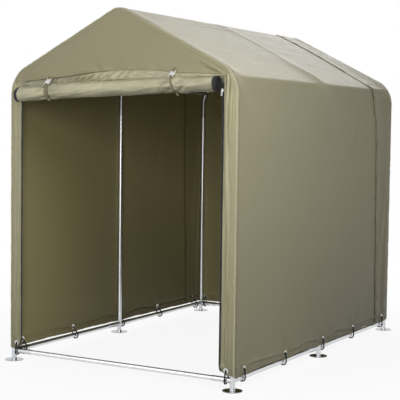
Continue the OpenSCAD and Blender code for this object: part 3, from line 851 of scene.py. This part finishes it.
# Folds that fan up from the fold above the door, and slant in towards its corners
pull = 0.0036 * fade(rise, 0.022) * noise((X + 0.9 * rise) / 0.045, rise / 0.12, 53)
pull += (0.0044 * fade(rise, 0.028) * bell(X + 0.10, 0.20)
         * noise((X + 0.6 * rise) / 0.034, rise / 0.2, 54))
for sign, seed in ((1, 55), (-1, 56)):
    from_corner = np.hypot(X - sign * 0.565, rise + 0.004)
    angle = np.arctan2(rise + 0.004, sign * 0.565 - X + 1e-6)
    pull += 0.0050 * noise(angle * 4.2 + 3, 0, seed) * bell(from_corner - 0.07, 0.07)
push += pull * step(drop, 0.004, 0.03)
left = step(-X, -0.02, 0.16)
push += (0.0007 + 0.0015 * left + 0.0007 * noise(X / 0.05, 0, 57)) * fade(rise, 0.006)
push += 0.0075 * fade(rise, 0.010) * left * step(0.56 - np.abs(X), 0.0, 0.06)
push *= step(drop, 0.0, 0.006)
points = np.concatenate([top, np.stack([X, FRONT_Y - COVER_MID - push, Z], 2)], 1)
rim = np.linspace(-CORNER, 0, top.shape[1] + 1)[:-1]
down = np.concatenate([np.broadcast_to(rim, (len(s), len(rim))), drop], 1)
# Painted shade in the groove 10 mm in from the rounded edge.
tone = 1 - 0.07 * bell(down - 0.010, 0.003)
crumple = 0.25 + 0.8 * fade(np.concatenate([9 + 0 * top[:, :, 0], rise], 1), 0.05)
uv = np.stack([s[:, None] + 0 * down, down], 2)
gable = tidy(grid("gable_panel", points, uv, tone, flip=True, crumple=crumple), COVER_T, lined=True)
finish_piece(gable, None, "cover_cloth", "front_gable_panel")

# The lip: slack cloth below the fold, which comes forward over the back of the roll
x = spaced(-BORDER_IN - 0.006, BORDER_IN + 0.006, 0.0045)


def roll_middle(x):
    """Height of the roll's middle, which bows up a little between its ends."""
    t = np.clip((x + ROLL_HALF) / (2 * ROLL_HALF), 0, 1)
    return ROLL_Z[0] + (ROLL_Z[1] - ROLL_Z[0]) * t + 0.0050 * np.sin(math.pi * t) ** 0.8


t = np.linspace(0, 1, 36)
X, T = np.meshgrid(x, t, indexing="ij")
low = seam_z(X) - 0.0015
roll_top = roll_middle(X) + ROLL_R
visible = low - roll_top
Z = low + (roll_middle(X) + 0.004 - low) * T
fall = np.clip((low - Z) / visible, 0, 1.6)
fullness = (0.003 + 0.006 * step(X, -0.30, -0.10) + 0.013 * bell(X + 0.10, 0.17)
            + 0.007 * bell(X - 0.36, 0.14))
inner = np.clip(fall, 0, 1)
forward = fullness * np.sin(math.pi * inner ** 0.75 * 0.62)
below, arched = low - Z, np.sin(math.pi * inner)
slanted = X + 1.15 * below + 0.012 * noise(X / 0.09, Z / 0.04, 60)
# Slanting gathers left of the middle
gathers = np.sin(slanted * math.tau / 0.047 + 1.8 * noise(X / 0.07, 0, 61))
gathers = np.sign(gathers) * np.abs(gathers) ** 0.8
forward += 0.0165 * gathers * bell(X + 0.13, 0.150) * np.sin(math.pi * inner ** 0.8)
forward += 0.0055 * noise((X + 1.1 * below) / 0.030, Z / 0.05, 62) * arched
forward += 0.0035 * noise((X - 2.0 * below) / 0.045, Z / 0.016, 63) * arched
for place, _, _ in STRAPS:
    pinched = np.sin((X - place) * math.tau / 0.03) * bell(X - place, 0.05)
    forward += 0.004 * pinched * fall * (fall < 1)
behind = ROLL_Y + np.sqrt(np.maximum(0.0, (ROLL_R + 0.0016) ** 2 - (Z - roll_middle(X)) ** 2))
Y = FACE_Y + 0.0002 - forward * step(fall, 0.0, 0.16)
Y = np.where(Z < roll_top + 0.0005, np.maximum(Y, behind), Y)
Y = np.minimum(Y, FACE_Y + 0.0030)
# Painted shade and light on the lip, which is darker overall than the roll: painted shade under the
# fold, on the left part and just above the roll, with lighter crests and darker hollows painted on
# the gathers.
tone = (0.77 - 0.05 * bell(fall, 0.12) - 0.16 * step(-X, 0.12, 0.30) - 0.38 * step(fall, 0.78, 1.0)
        + 0.15 * gathers * bell(X + 0.11, 0.17) * arched)
lip = tidy(grid("door_lip", np.stack([X, Y, Z], 2), np.stack([X, below], 2), tone), COVER_T * 0.8)
finish_piece(lip, ROLL, "door_cloth")


def border_in(z):
    """Inner edge of a border: straight, with a rounded lower corner."""
    below = np.clip(HEM_Z + CORNER_R - z, 0, CORNER_R * 0.96)
    return BORDER_IN + CORNER_R - np.sqrt(CORNER_R ** 2 - below ** 2)


for side, name, seam_top in ((-1, "left", SEAM_LEFT), (1, "right", SEAM_RIGHT)):
    z = spaced(HEM_Z, seam_top, 0.012, np.linspace(HEM_Z, 0.13, 18),
               [HEM_Z + HEM_FOLD + d for d in NEAR_FOLD],
               np.linspace(seam_top - 0.05, seam_top, 9))
    x, _, nx, nz = outline(outline_at(z))
    inner = border_in(z)
    f = np.linspace(0, 1, 36)
    X = inner[:, None] + (x - inner)[:, None] * f
    Z = z[:, None] + 0 * f
    wide = X - BORDER_IN
    up = Z - HEM_Z
    seed = 70 + 10 * side
    # Upright folds from sill to lip, which lean and fade in places
    lean_x = wide + 0.006 * noise(Z / 0.5, 0, seed) + 0.003 * noise(Z / 0.17, 0, seed + 1)
    push = (0.0062 * noise(lean_x / 0.0100, Z / 0.60, seed + 2)
            + 0.0044 * noise(lean_x / 0.0052, Z / 0.30, seed + 3))
    push *= 0.70 + 0.45 * noise(wide / 0.2, Z / 0.35, seed + 4)
    push += 0.0022 * noise(wide / 0.04, Z / 0.07, seed + 5)
    push += 0.0030 * fade(seam_top - Z, 0.022) * noise(lean_x / 0.011, Z / 0.3, seed + 6)
    push += 0.0022 * fade(up, 0.05) * noise(X / 0.018, Z / 0.3, seed + 7)
    push += 0.0026 * fade(HALF_W - X, 0.016) * noise(Z / 0.013, X / 0.03, seed + 8)
    push *= step(X - inner[:, None], 0.0, 0.010)
    push = around_eyelets(push, X, Z - EYELET_Z, [FRONT_EYELETS[1]], seed + 20)
    # The last stretch lies on the post
    lying = np.maximum(push * step(HALF_W - X, 0.0, 0.012), -0.0003)
    push = np.where(X > HALF_W - 0.014, lying, push)
    push += 0.0026 * fade(seam_top - Z, 0.004)
    rim = corner_strip(x, z, nx, nz, FRONT_Y, COVER_MID)
    body = np.stack([X, FRONT_Y - COVER_MID - push, Z], 2)
    points = np.concatenate([body, rim], 1)
    if side > 0:
        # Its hem rides up a little
        every_x, every_z = points[:, :, 0], points[:, :, 2]
        ragged = 0.006 + 0.004 * noise(every_x / 0.02, 0, seed + 9)
        points[:, :, 2] += ragged * fade(every_z - HEM_Z, 0.02)
    points[:, :, 0] *= side
    every = np.concatenate([X, rim[:, :, 0]], 1)
    height = np.broadcast_to((z - HEM_Z)[:, None], every.shape)
    # Darker along the hem's stitching and the top seam; painted shade in the groove at the corner;
    # painted light and shade, lighter at the top and darker towards the hem.
    tone = hem_tone(height, 0.14) - 0.12 * bell(every - HALF_W - 0.001, 0.003)
    tone = tone - 0.10 * bell(seam_top - HEM_Z - height, 0.004) + 0.15 - 0.42 * fade(height, 0.50)
    border = tidy(grid(name + "_border", points, points[:, :, ::2], tone, flip=side > 0,
                       crumple=0.9 + 0.5 * fade(height, 0.06)), COVER_T)
    finish_piece(border, BORDER, "cover_cloth", "front_" + name + "_border")

# Piping sewn into the edge between the roof and the front, and the same at the back
pipes = []
for way, y, mid in ((-1, FRONT_Y, COVER_MID), (1, BACK_Y, BAND_MID)):
    s = np.linspace(-OUTLINE, OUTLINE, 700)
    x, z, nx, nz = outline(s)
    off = mid * math.cos(math.pi / 4) + 0.0010 + 0.0007 * noise(s / 0.013, 0, 91)
    back = mid * math.sin(math.pi / 4) + 0.0010 + 0.0007 * noise(s / 0.013, 0, 92)
    path = np.stack([x + nx * off, y + way * back, z + nz * off], 1)
    thick = 0.0029 + 0.0005 * noise(s / 0.010, 0, 93)
    pipes.append(tube("edge_piping", path, thick, 8, along=(0, 1, 0)))
finish_piece(join("edge_piping", pipes), PIPING, "cover_cloth")

# ---------------------------------------------------------------- rolled door
DOOR_L = ZIP_TOP - HEM_Z
CORE_R = 0.0045
OUTER_R = ROLL_R - 0.0006
PITCH_R = math.pi * (OUTER_R ** 2 - CORE_R ** 2) / DOOR_L
turns = (OUTER_R - CORE_R) / PITCH_R
TAPE_W = 0.016  # the zip's other tape, along both sides of the door
WAISTS = (0.085, 0.140)  # how far each strap draws the roll in, as a share of its radius


def strap_x(k, beta):
    """Where a strap's middle runs, beta round the roll from its top towards the front."""
    return np.interp(beta, [0, math.pi / 2, math.pi, math.tau], [*STRAPS[k], STRAPS[k][0]])


def roll_radius(x, beta):
    """The outside of the roll: drawn in at the straps, wrinkled beside them, tight at its ends."""
    r = 1 + 0.020 * bell(np.abs(x) - 0.20, 0.12) - 0.035 * step(np.abs(x), 0.46, 0.56)
    swell = 0.0014 * noise(x / 0.12, beta / 1.6, 101) + 0.0008 * noise(x / 0.035, beta / 0.6, 102)
    gathered = 0.25 * np.ones_like(x)
    for k in (0, 1):
        near = x - strap_x(k, beta)
        r = r - WAISTS[k] * bell(near, (0.024, 0.019)[k])
        gathered = gathered + (1.8, 2.8)[k] * bell(near, (0.050, 0.065)[k])
        beside = fade(np.abs(near) - 0.012, 0.050) * step(np.abs(near), 0.010, 0.020)
        swell += 0.0056 * noise(beta / 0.34, np.abs(near) / 0.14, 104 + k) * beside
    swell += 0.0023 * noise((x + 0.03 * beta) / 0.019, beta / 1.1, 103) * gathered
    lengthwise = folds((beta + 3.0 * x) / 0.42, x / 0.16, 106)
    swell += 0.0022 * (lengthwise - 0.35) * (1 - 0.6 * bell(np.abs(x) - 0.35, 0.05))
    swell -= 0.0018 * folds((beta - 1.6 * x) / 0.55, x / 0.11, 107)
    return r, swell


x = spaced(-ROLL_HALF - 0.003, ROLL_HALF + 0.001, 0.0075,
           [k * (ROLL_HALF + 0.001 - d) for k in (-1, 1)
            for d in (0.0, 0.004, TAPE_W - 0.001, TAPE_W, 0.024)])
theta = np.concatenate([np.linspace(0, math.tau, 91)[:-1],
                        np.linspace(math.tau, math.tau * turns, int(16 * (turns - 1)))])
X, A = np.meshgrid(x, theta, indexing="ij")
winding = OUTER_R - PITCH_R * A / math.tau
# It starts behind the roll near the top, comes over the top to the front, then winds in
angle = math.radians(60) + A
pinch, swell = roll_radius(X, np.mod(angle - math.pi / 2, math.tau))
outer_turns = np.clip(winding / OUTER_R * 1.6 - 0.6, 0, 1) * (0.5 + 0.5 * (A < math.tau))
body = winding * pinch + swell * outer_turns
points = np.stack([X, ROLL_Y + body * np.cos(angle), roll_middle(X) + body * np.sin(angle)], 2)
arc = np.concatenate([[0], np.cumsum(np.diff(theta) * winding[0, 1:])])
# Darker along the zip tape's edge; painted shade on the inner turns, in the creases, underneath,
# along the top and towards the right end, with painted highlights on the crests.
tone = 1 - 0.10 * bell(np.abs(X) - (ROLL_HALF - TAPE_W), 0.003) - 0.05 * (A > math.tau)
tone += (0.34 * np.clip(swell / 0.006, -1, 0.35) - 0.26 * step(-np.sin(angle), 0.0, 0.8)
         - 0.18 * step(np.sin(angle), 0.55, 0.95) - 0.14 * step(X, 0.05, 0.40))
uv = np.stack([X, np.broadcast_to(arc, X.shape)], 2)
door = grid("rolled_door_cloth", points, uv, tone, flip=True)
for material in (ROLL, TAPE):
    door.data.materials.append(material)
middles = np.array([p.center.x for p in door.data.polygons])
on_tape = np.abs(middles) > ROLL_HALF - TAPE_W
door.data.polygons.foreach_set("material_index", on_tape.astype(np.int32))
door = tidy(door, 0.0011, weld=False)
finish_piece(door, None, "door_cloth", "rolled_door")

# ---------------------------------------------------------------- straps, buckles
TAB_W = 0.0255
SLOT_W = 0.0170
LOW_SLOT, HIGH_SLOT = 0.0105, 0.0075  # from the tab's foot and from its head


def strip(line, width, side, turned=1e-9):
    """Webbing along points, its width in the direction of side, with a painted shadow where it
    starts in a slot.
    """
    w = np.linspace(-1, 1, 9)
    points = line[:, None] + (width[:, None] / 2 * w)[..., None] * side[:, None]
    length = np.concatenate([[0], np.cumsum(np.linalg.norm(np.diff(line, axis=0), axis=1))])
    uv = np.stack(np.broadcast_arrays(length[:, None], width[:, None] * w / 2), 2)
    edges = 1 - 0.32 * bell(np.abs(w) - 0.78, 0.09) - 0.25 * (np.abs(w) > 0.99)
    # Painted shadow over the first stretch, where the webbing comes out of a slot.
    shade = edges[None, :] * (1 - 0.75 * fade(length, turned))[:, None]
    return tidy(grid("strap", points, uv, shade, flip=True), 0.0015, weld=False)


strap_parts, buckle_parts = [], []
for k, wide in enumerate(STRAP_W):
    beta = np.linspace(math.radians(28), math.radians(338), 80)
    place = strap_x(k, beta)
    pinch, swell = roll_radius(place, beta)
    r = OUTER_R * pinch + swell + 0.0018
    centre = roll_middle(place)
    middle_line = np.stack([place, ROLL_Y - r * np.sin(beta), centre + r * np.cos(beta)], 1)
    width = wide * (1 - (0.10, 0.30)[k] * np.sin(beta - 0.5) ** 2)
    side = np.stack([np.ones_like(beta), 0.10 * np.cos(beta + k), 0.16 * np.sin(2 * beta + k)], 1)
    strap_parts.append(strip(middle_line, width, side))
    # Short loose end under the roll
    t = np.linspace(0, 1, 12)
    i = int(np.argmin(np.abs(beta - math.radians((150, 165)[k]))))
    start = middle_line[i] + np.array([0.003, 0, -0.0018])
    tail = start + np.stack([(0.006, 0.010)[k] * t ** 2, -0.004 * np.sin(2 * t),
                             -(0.008, 0.015)[k] * t ** 1.4], 1)
    twisted = np.stack([1 + 0 * t, 0.3 * t, 0.1 * t], 1)
    strap_parts.append(strip(tail, wide * (0.85 - 0.25 * t), twisted))
    # Slotted metal tab that leans from the fold above forward and down onto the roll
    top_x = STRAPS[k][0] - (0.010, 0.006)[k]
    head = Vector((top_x, FACE_Y - 0.0085, float(seam_z(np.array([top_x]))[0]) + (0.001, 0.005)[k]))
    foot = Vector((top_x + 0.004, FACE_Y - 0.047, roll_middle(top_x) + ROLL_R - (0.001, -0.001)[k]))
    length = (head - foot).length
    shape = [rounded(TAB_W, length, 0.0032, (0, length / 2)),
             rounded(SLOT_W, 0.0075, 0.0014, (0, LOW_SLOT)),
             rounded(SLOT_W, 0.0036, 0.0012, (0, length - HIGH_SLOT))]
    held = lean(foot, (1, 0.06, 0), head - foot)
    buckle_parts.append(plate("buckle", shape, 0.0022, 0.0005, held))
    # Webbing through the tab's upper slot to the gable, and from its lower slot to the roll
    way = (head - foot).normalized()
    level = np.stack([1 + 0 * t, 0 * t, 0 * t], 1)
    slot = np.array(foot + way * LOW_SLOT)
    hop = slot + (middle_line[0] - slot) * t[:, None]
    hop -= np.outer(np.sin(t * math.pi), (0, 0.0035, -0.0030))
    widening = 0.0150 + (min(width[0], 0.024) - 0.0150) * t
    # Painted shadow over its first few millimetres, in the lower slot.
    strap_parts.append(strip(hop, widening, level, 0.007))
    upper = np.array(foot + way * (length - HIGH_SLOT))
    sewn = np.array((top_x, FACE_Y - 0.0028, upper[2] + 0.016))
    hop = upper + (sewn - upper) * t[:, None] - np.outer(np.sin(t * math.pi), (0, 0.0015, 0))
    strap_parts.append(strip(hop, 0.0155 + 0 * t, level))
finish_piece(join("tie_straps", strap_parts), STRAP, "strap_webbing", "roll_straps")
finish_piece(join("tie_buckles", buckle_parts), BRIGHT, "bright_metal", "roll_buckles")

# ---------------------------------------------------------------- zips
TEETH_IN = 0.0036  # from a border's inner edge to the middle of the teeth
TAPE_IN, TAPE_SEEN = 0.0035, 0.0075  # from that edge to the tape's edge, and the tape's width
TOOTH = 0.0024
low_z, high_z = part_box("zip_pulls")[0].z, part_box("zip_pulls")[1].z
tape_parts, coil_parts, pull_parts = [], [], []
for side, top in ((-1, SEAM_LEFT - 0.004), (1, SEAM_RIGHT - 0.006)):
    foot = HEM_Z + 0.006 if side < 0 else ZIP_FOOT - 0.03
    z = spaced(foot, top, 0.008, np.linspace(HEM_Z, 0.14, 30))
    f = np.linspace(0, 1, 5)
    X = border_in(z)[:, None] - TAPE_IN + TAPE_SEEN * f + 0.0006 * noise(z / 0.05, 0, 121)[:, None]
    Y = (FACE_Y - 0.0012 - 0.0006 * np.sin(f * math.pi) + 0 * X
         + 0.0006 * noise(z / 0.03, 0, 122)[:, None])
    Z = z[:, None] + 0 * X
    part = grid("tape", np.stack([side * X, Y, Z], 2), np.stack([Z, X], 2), flip=side > 0)
    tape_parts.append(tidy(part, 0.0008, weld=False))
    count = int((top - z[0]) / TOOTH) * 2
    zc = np.linspace(z[0] + 0.004, top - 0.002, count)
    teeth = 0.0013 + 0.0005 * (np.arange(count) % 2)
    path = np.stack([side * (border_in(zc) - TEETH_IN), FACE_Y - 0.0020 + 0 * zc, zc], 1)
    coil_parts.append(tube("coil", path, teeth, 6, along=(0, 1, 0)))
    # Slider and pull tab
    px, pz = side * (BORDER_IN - TEETH_IN), high_z - 0.009
    body = lean((px, FACE_Y - 0.0048, pz), (1, 0, 0), (0, 0, 1))
    waist = [(-0.0045, -0.0065), (0.0045, -0.0065), (0.0052, 0.0), (0.0046, 0.0052),
             (0.0022, 0.0070), (-0.0022, 0.0070), (-0.0046, 0.0052), (-0.0052, 0.0)]
    pull_parts.append(plate("slider", [waist], 0.0028, 0.0006, body))
    arch = [(px, FACE_Y - 0.0055 - 0.0036 * math.sin(a), pz - 0.0045 * math.cos(a))
            for a in np.linspace(0, math.pi, 12)]
    pull_parts.append(tube("bridge", arch, 0.0009, 8, along=(1, 0, 0)))
    swing = Vector((0.10 * side, -0.16, -1.0))
    long = pz - 0.002 - low_z
    tab = [rounded(0.0075, long, 0.0030, (0, long / 2)),
           rounded(0.0036, 0.0060, 0.0014, (0, 0.0052)),
           rounded(0.0034, 0.0085, 0.0016, (0, long - 0.0075))]
    pull_parts.append(plate("tab", tab, 0.0014, 0.0004,
                            lean((px, FACE_Y - 0.0088, pz + 0.003), (1, 0, 0), swing)))
finish_piece(join("zip_tapes", tape_parts), TAPE, "zip_tape", "door_zips")
finish_piece(join("zip_coils", coil_parts), COIL, "zip_tape")
finish_piece(join("zip_sliders", pull_parts), BRIGHT, "bright_metal", "zip_pulls")

# ---------------------------------------------------------------- elastic loops
ELASTIC_R = 0.0034
TURN_R = 0.0053  # of the cord's turn through the eyelet
loops = []
rng = np.random.default_rng(7)


def loop_route(mid):
    """Round the rail, up outside the cloth, through the eyelet and back, across the rail."""
    around = mid + COVER_T / 2 + 0.0006 + ELASTIC_R
    top = np.array([mid, EYELET_Z - SILL_Z - TURN_R])
    lean_a = math.atan2(top[1], top[0])
    spread = math.acos((around - TURN_R) / np.linalg.norm(top))
    a = lean_a + spread - (2 * spread - math.tau) * np.linspace(0, 1, 44)
    b = np.linspace(lean_a - spread, lean_a + spread, 20)[1:-1]
    big = around * np.stack([np.cos(a), np.sin(a)], 1)
    small = top + TURN_R * np.stack([np.cos(b), np.sin(b)], 1)
    return np.concatenate([big, small])


places = [(side, 0, y, BAND_MID if y > 0.7 else COVER_MID)
          for y in SIDE_EYELETS for side in (1, -1)]
places += [(0, -1, x, COVER_MID) for x in FRONT_EYELETS]
places += [(0, 1, x, COVER_MID) for x in BACK_EYELETS]
for side, end, at, mid in places:
    route = loop_route(mid)
    slantwise = rng.uniform(0.004, 0.010) * np.clip((0.030 - route[:, 1]) / 0.045, 0, 1)
    slantwise *= -1 if rng.random() < 0.25 else 1
    if side:
        path = np.stack([side * (HALF_W + route[:, 0]), at + slantwise, SILL_Z + route[:, 1]], 1)
        along = (0, 1, 0)
    else:
        base = FRONT_Y if end < 0 else BACK_Y
        path = np.stack([at + slantwise, base + end * route[:, 0], SILL_Z + route[:, 1]], 1)
        along = (1, 0, 0)
    loops.append(tube("loop", path, ELASTIC_R, 10, closed=True, along=along))
finish_piece(tidy(join("elastic_cords", loops)), ELASTIC, "elastic_cord", "elastic_loops")

# ---------------------------------------------------------------- carried-over CAD nodes
for name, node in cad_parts.items():
    if name.endswith("foot"):
        material = FOOT
    elif name.endswith(("elbows", "elbow")):
        material = FITTING
    elif name == "eyelets":
        material = EYELET
    elif name.endswith(("post", "rail", "rails", "rafters")):
        material = TUBE
    else:
        continue
    for slot in node.material_slots:
        slot.material = material
    if not node.material_slots:
        node.data.materials.append(material)

# ---------------------------------------------------------------- floor, world and lamps
scene = bpy.context.scene
FLOOR_HALF = 30.0
floor_mesh = bpy.data.meshes.new("floor")
floor_mesh.from_pydata([(x * FLOOR_HALF, y * FLOOR_HALF, 0)
                        for x, y in ((-1, -1), (1, -1), (1, 1), (-1, 1))], [], [(0, 1, 2, 3)])
floor = placed("floor", floor_mesh)
floor.location.z = -0.0005
ground = Shader("studio_floor")
path = ground.add("ShaderNodeLightPath").outputs
seen = ground.math("ADD", path["Is Glossy Ray"], path["Is Transmission Ray"])
seen = ground.math("MINIMUM", ground.math("ADD", path["Is Camera Ray"], seen), 1.0)
away = ground.add("ShaderNodeVectorMath", {0: ground.place}, operation="LENGTH").outputs["Value"]
far = ground.add("ShaderNodeMapRange", {0: away, 1: 1.0, 2: 2.4, 3: 0.91, 4: 1.0}).outputs[0]
speck = ground.noise(30.0, 2.0)
ground.colour([1.0, 1.0, 1.0], ground.times(ground.around(speck, 0.01, 0.90),
                                            ground.math("MULTIPLY_ADD", seen, 0.86, 0.14)))
ground.set(ground.main, "Roughness", 0.9)
ground.set(ground.main, "Specular IOR Level", 0.1)
glow = ground.add("ShaderNodeEmission", {"Strength": 1.0})
mix = ground.add("ShaderNodeMixShader", {0: ground.times(seen, far), 1: ground.main.outputs[0],
                                         2: glow.outputs[0]})
ground.set(ground.tree.nodes["Material Output"], "Surface", mix.outputs[0])
floor_mesh.materials.append(ground.material)

# White where it is seen or mirrored, dim as a light
WORLD_LIGHT, WORLD_SEEN = 0.07, 1.0
world = bpy.data.worlds.new("studio")
scene.world = world
sky = Nodes(world)
path = sky.add("ShaderNodeLightPath").outputs
seen = sky.math("ADD", path["Is Glossy Ray"], path["Is Transmission Ray"])
seen = sky.math("MAXIMUM", seen, path["Is Camera Ray"])
plain, shown = sky.tree.nodes["Background"], sky.add("ShaderNodeBackground")
for node, strength in ((plain, WORLD_LIGHT), (shown, WORLD_SEEN)):
    sky.set(node, "Color", (1, 1, 1, 1))
    sky.set(node, "Strength", strength)
mix = sky.add("ShaderNodeMixShader", {0: seen, 1: plain.outputs[0], 2: shown.outputs[0]})
sky.set(sky.tree.nodes["World Output"], "Surface", mix.outputs[0])

for name, place, target, size, power in (
        ("front", (2.3, -4.8, 1.7), (-0.2, -0.4, 1.1), 1.6, 72),
        ("key", (0.5, -3.3, 3.4), (0.1, -0.7, 1.3), 1.6, 2),
        ("near", (2.1, -1.5, 2.3), (0.6, -0.4, 0.9), 1.1, 23),
        ("left", (-1.8, -4.2, 1.8), (0.2, -0.4, 1.1), 1.6, 31),
        ("far_side", (-3.2, 0.4, 2.4), (-0.6, 0.0, 0.9), 1.6, 29),
        ("back", (-1.2, 4.6, 3.5), (0.1, 0.0, 1.5), 3.0, 90)):
    lamp = bpy.data.lights.new(name, "AREA")
    lamp.shape, lamp.size, lamp.energy = "SQUARE", size, power
    holder = placed(name, lamp)
    holder.location = place
    holder.rotation_euler = (Vector(target) - Vector(place)).to_track_quat("-Z", "Y").to_euler()

# ---------------------------------------------------------------- camera
# Solved from the photo; its place is from the middle of the plan
EYE, LENS, SENSOR = (2.9025, PLAN_Y - 5.1760, 1.1405), 100.77, 36.0
YAW, DOWN, ROLL_ANGLE = math.radians(30.086), math.radians(3.60), math.radians(0.76)
ahead = Vector((-math.sin(YAW) * math.cos(DOWN), math.cos(YAW) * math.cos(DOWN), -math.sin(DOWN)))
level = Vector((math.cos(YAW), math.sin(YAW), 0.0))
above = level.cross(ahead)
right = math.cos(ROLL_ANGLE) * level + math.sin(ROLL_ANGLE) * above
above = -math.sin(ROLL_ANGLE) * level + math.cos(ROLL_ANGLE) * above
lens = bpy.data.cameras.new("camera")
lens.lens, lens.sensor_width = LENS, SENSOR
camera = placed("camera", lens)
turned = Matrix((right, above, -ahead)).transposed().to_4x4()
camera.matrix_world = Matrix.Translation(EYE) @ turned
scene.camera = camera
scene.view_settings.view_transform = "Standard"
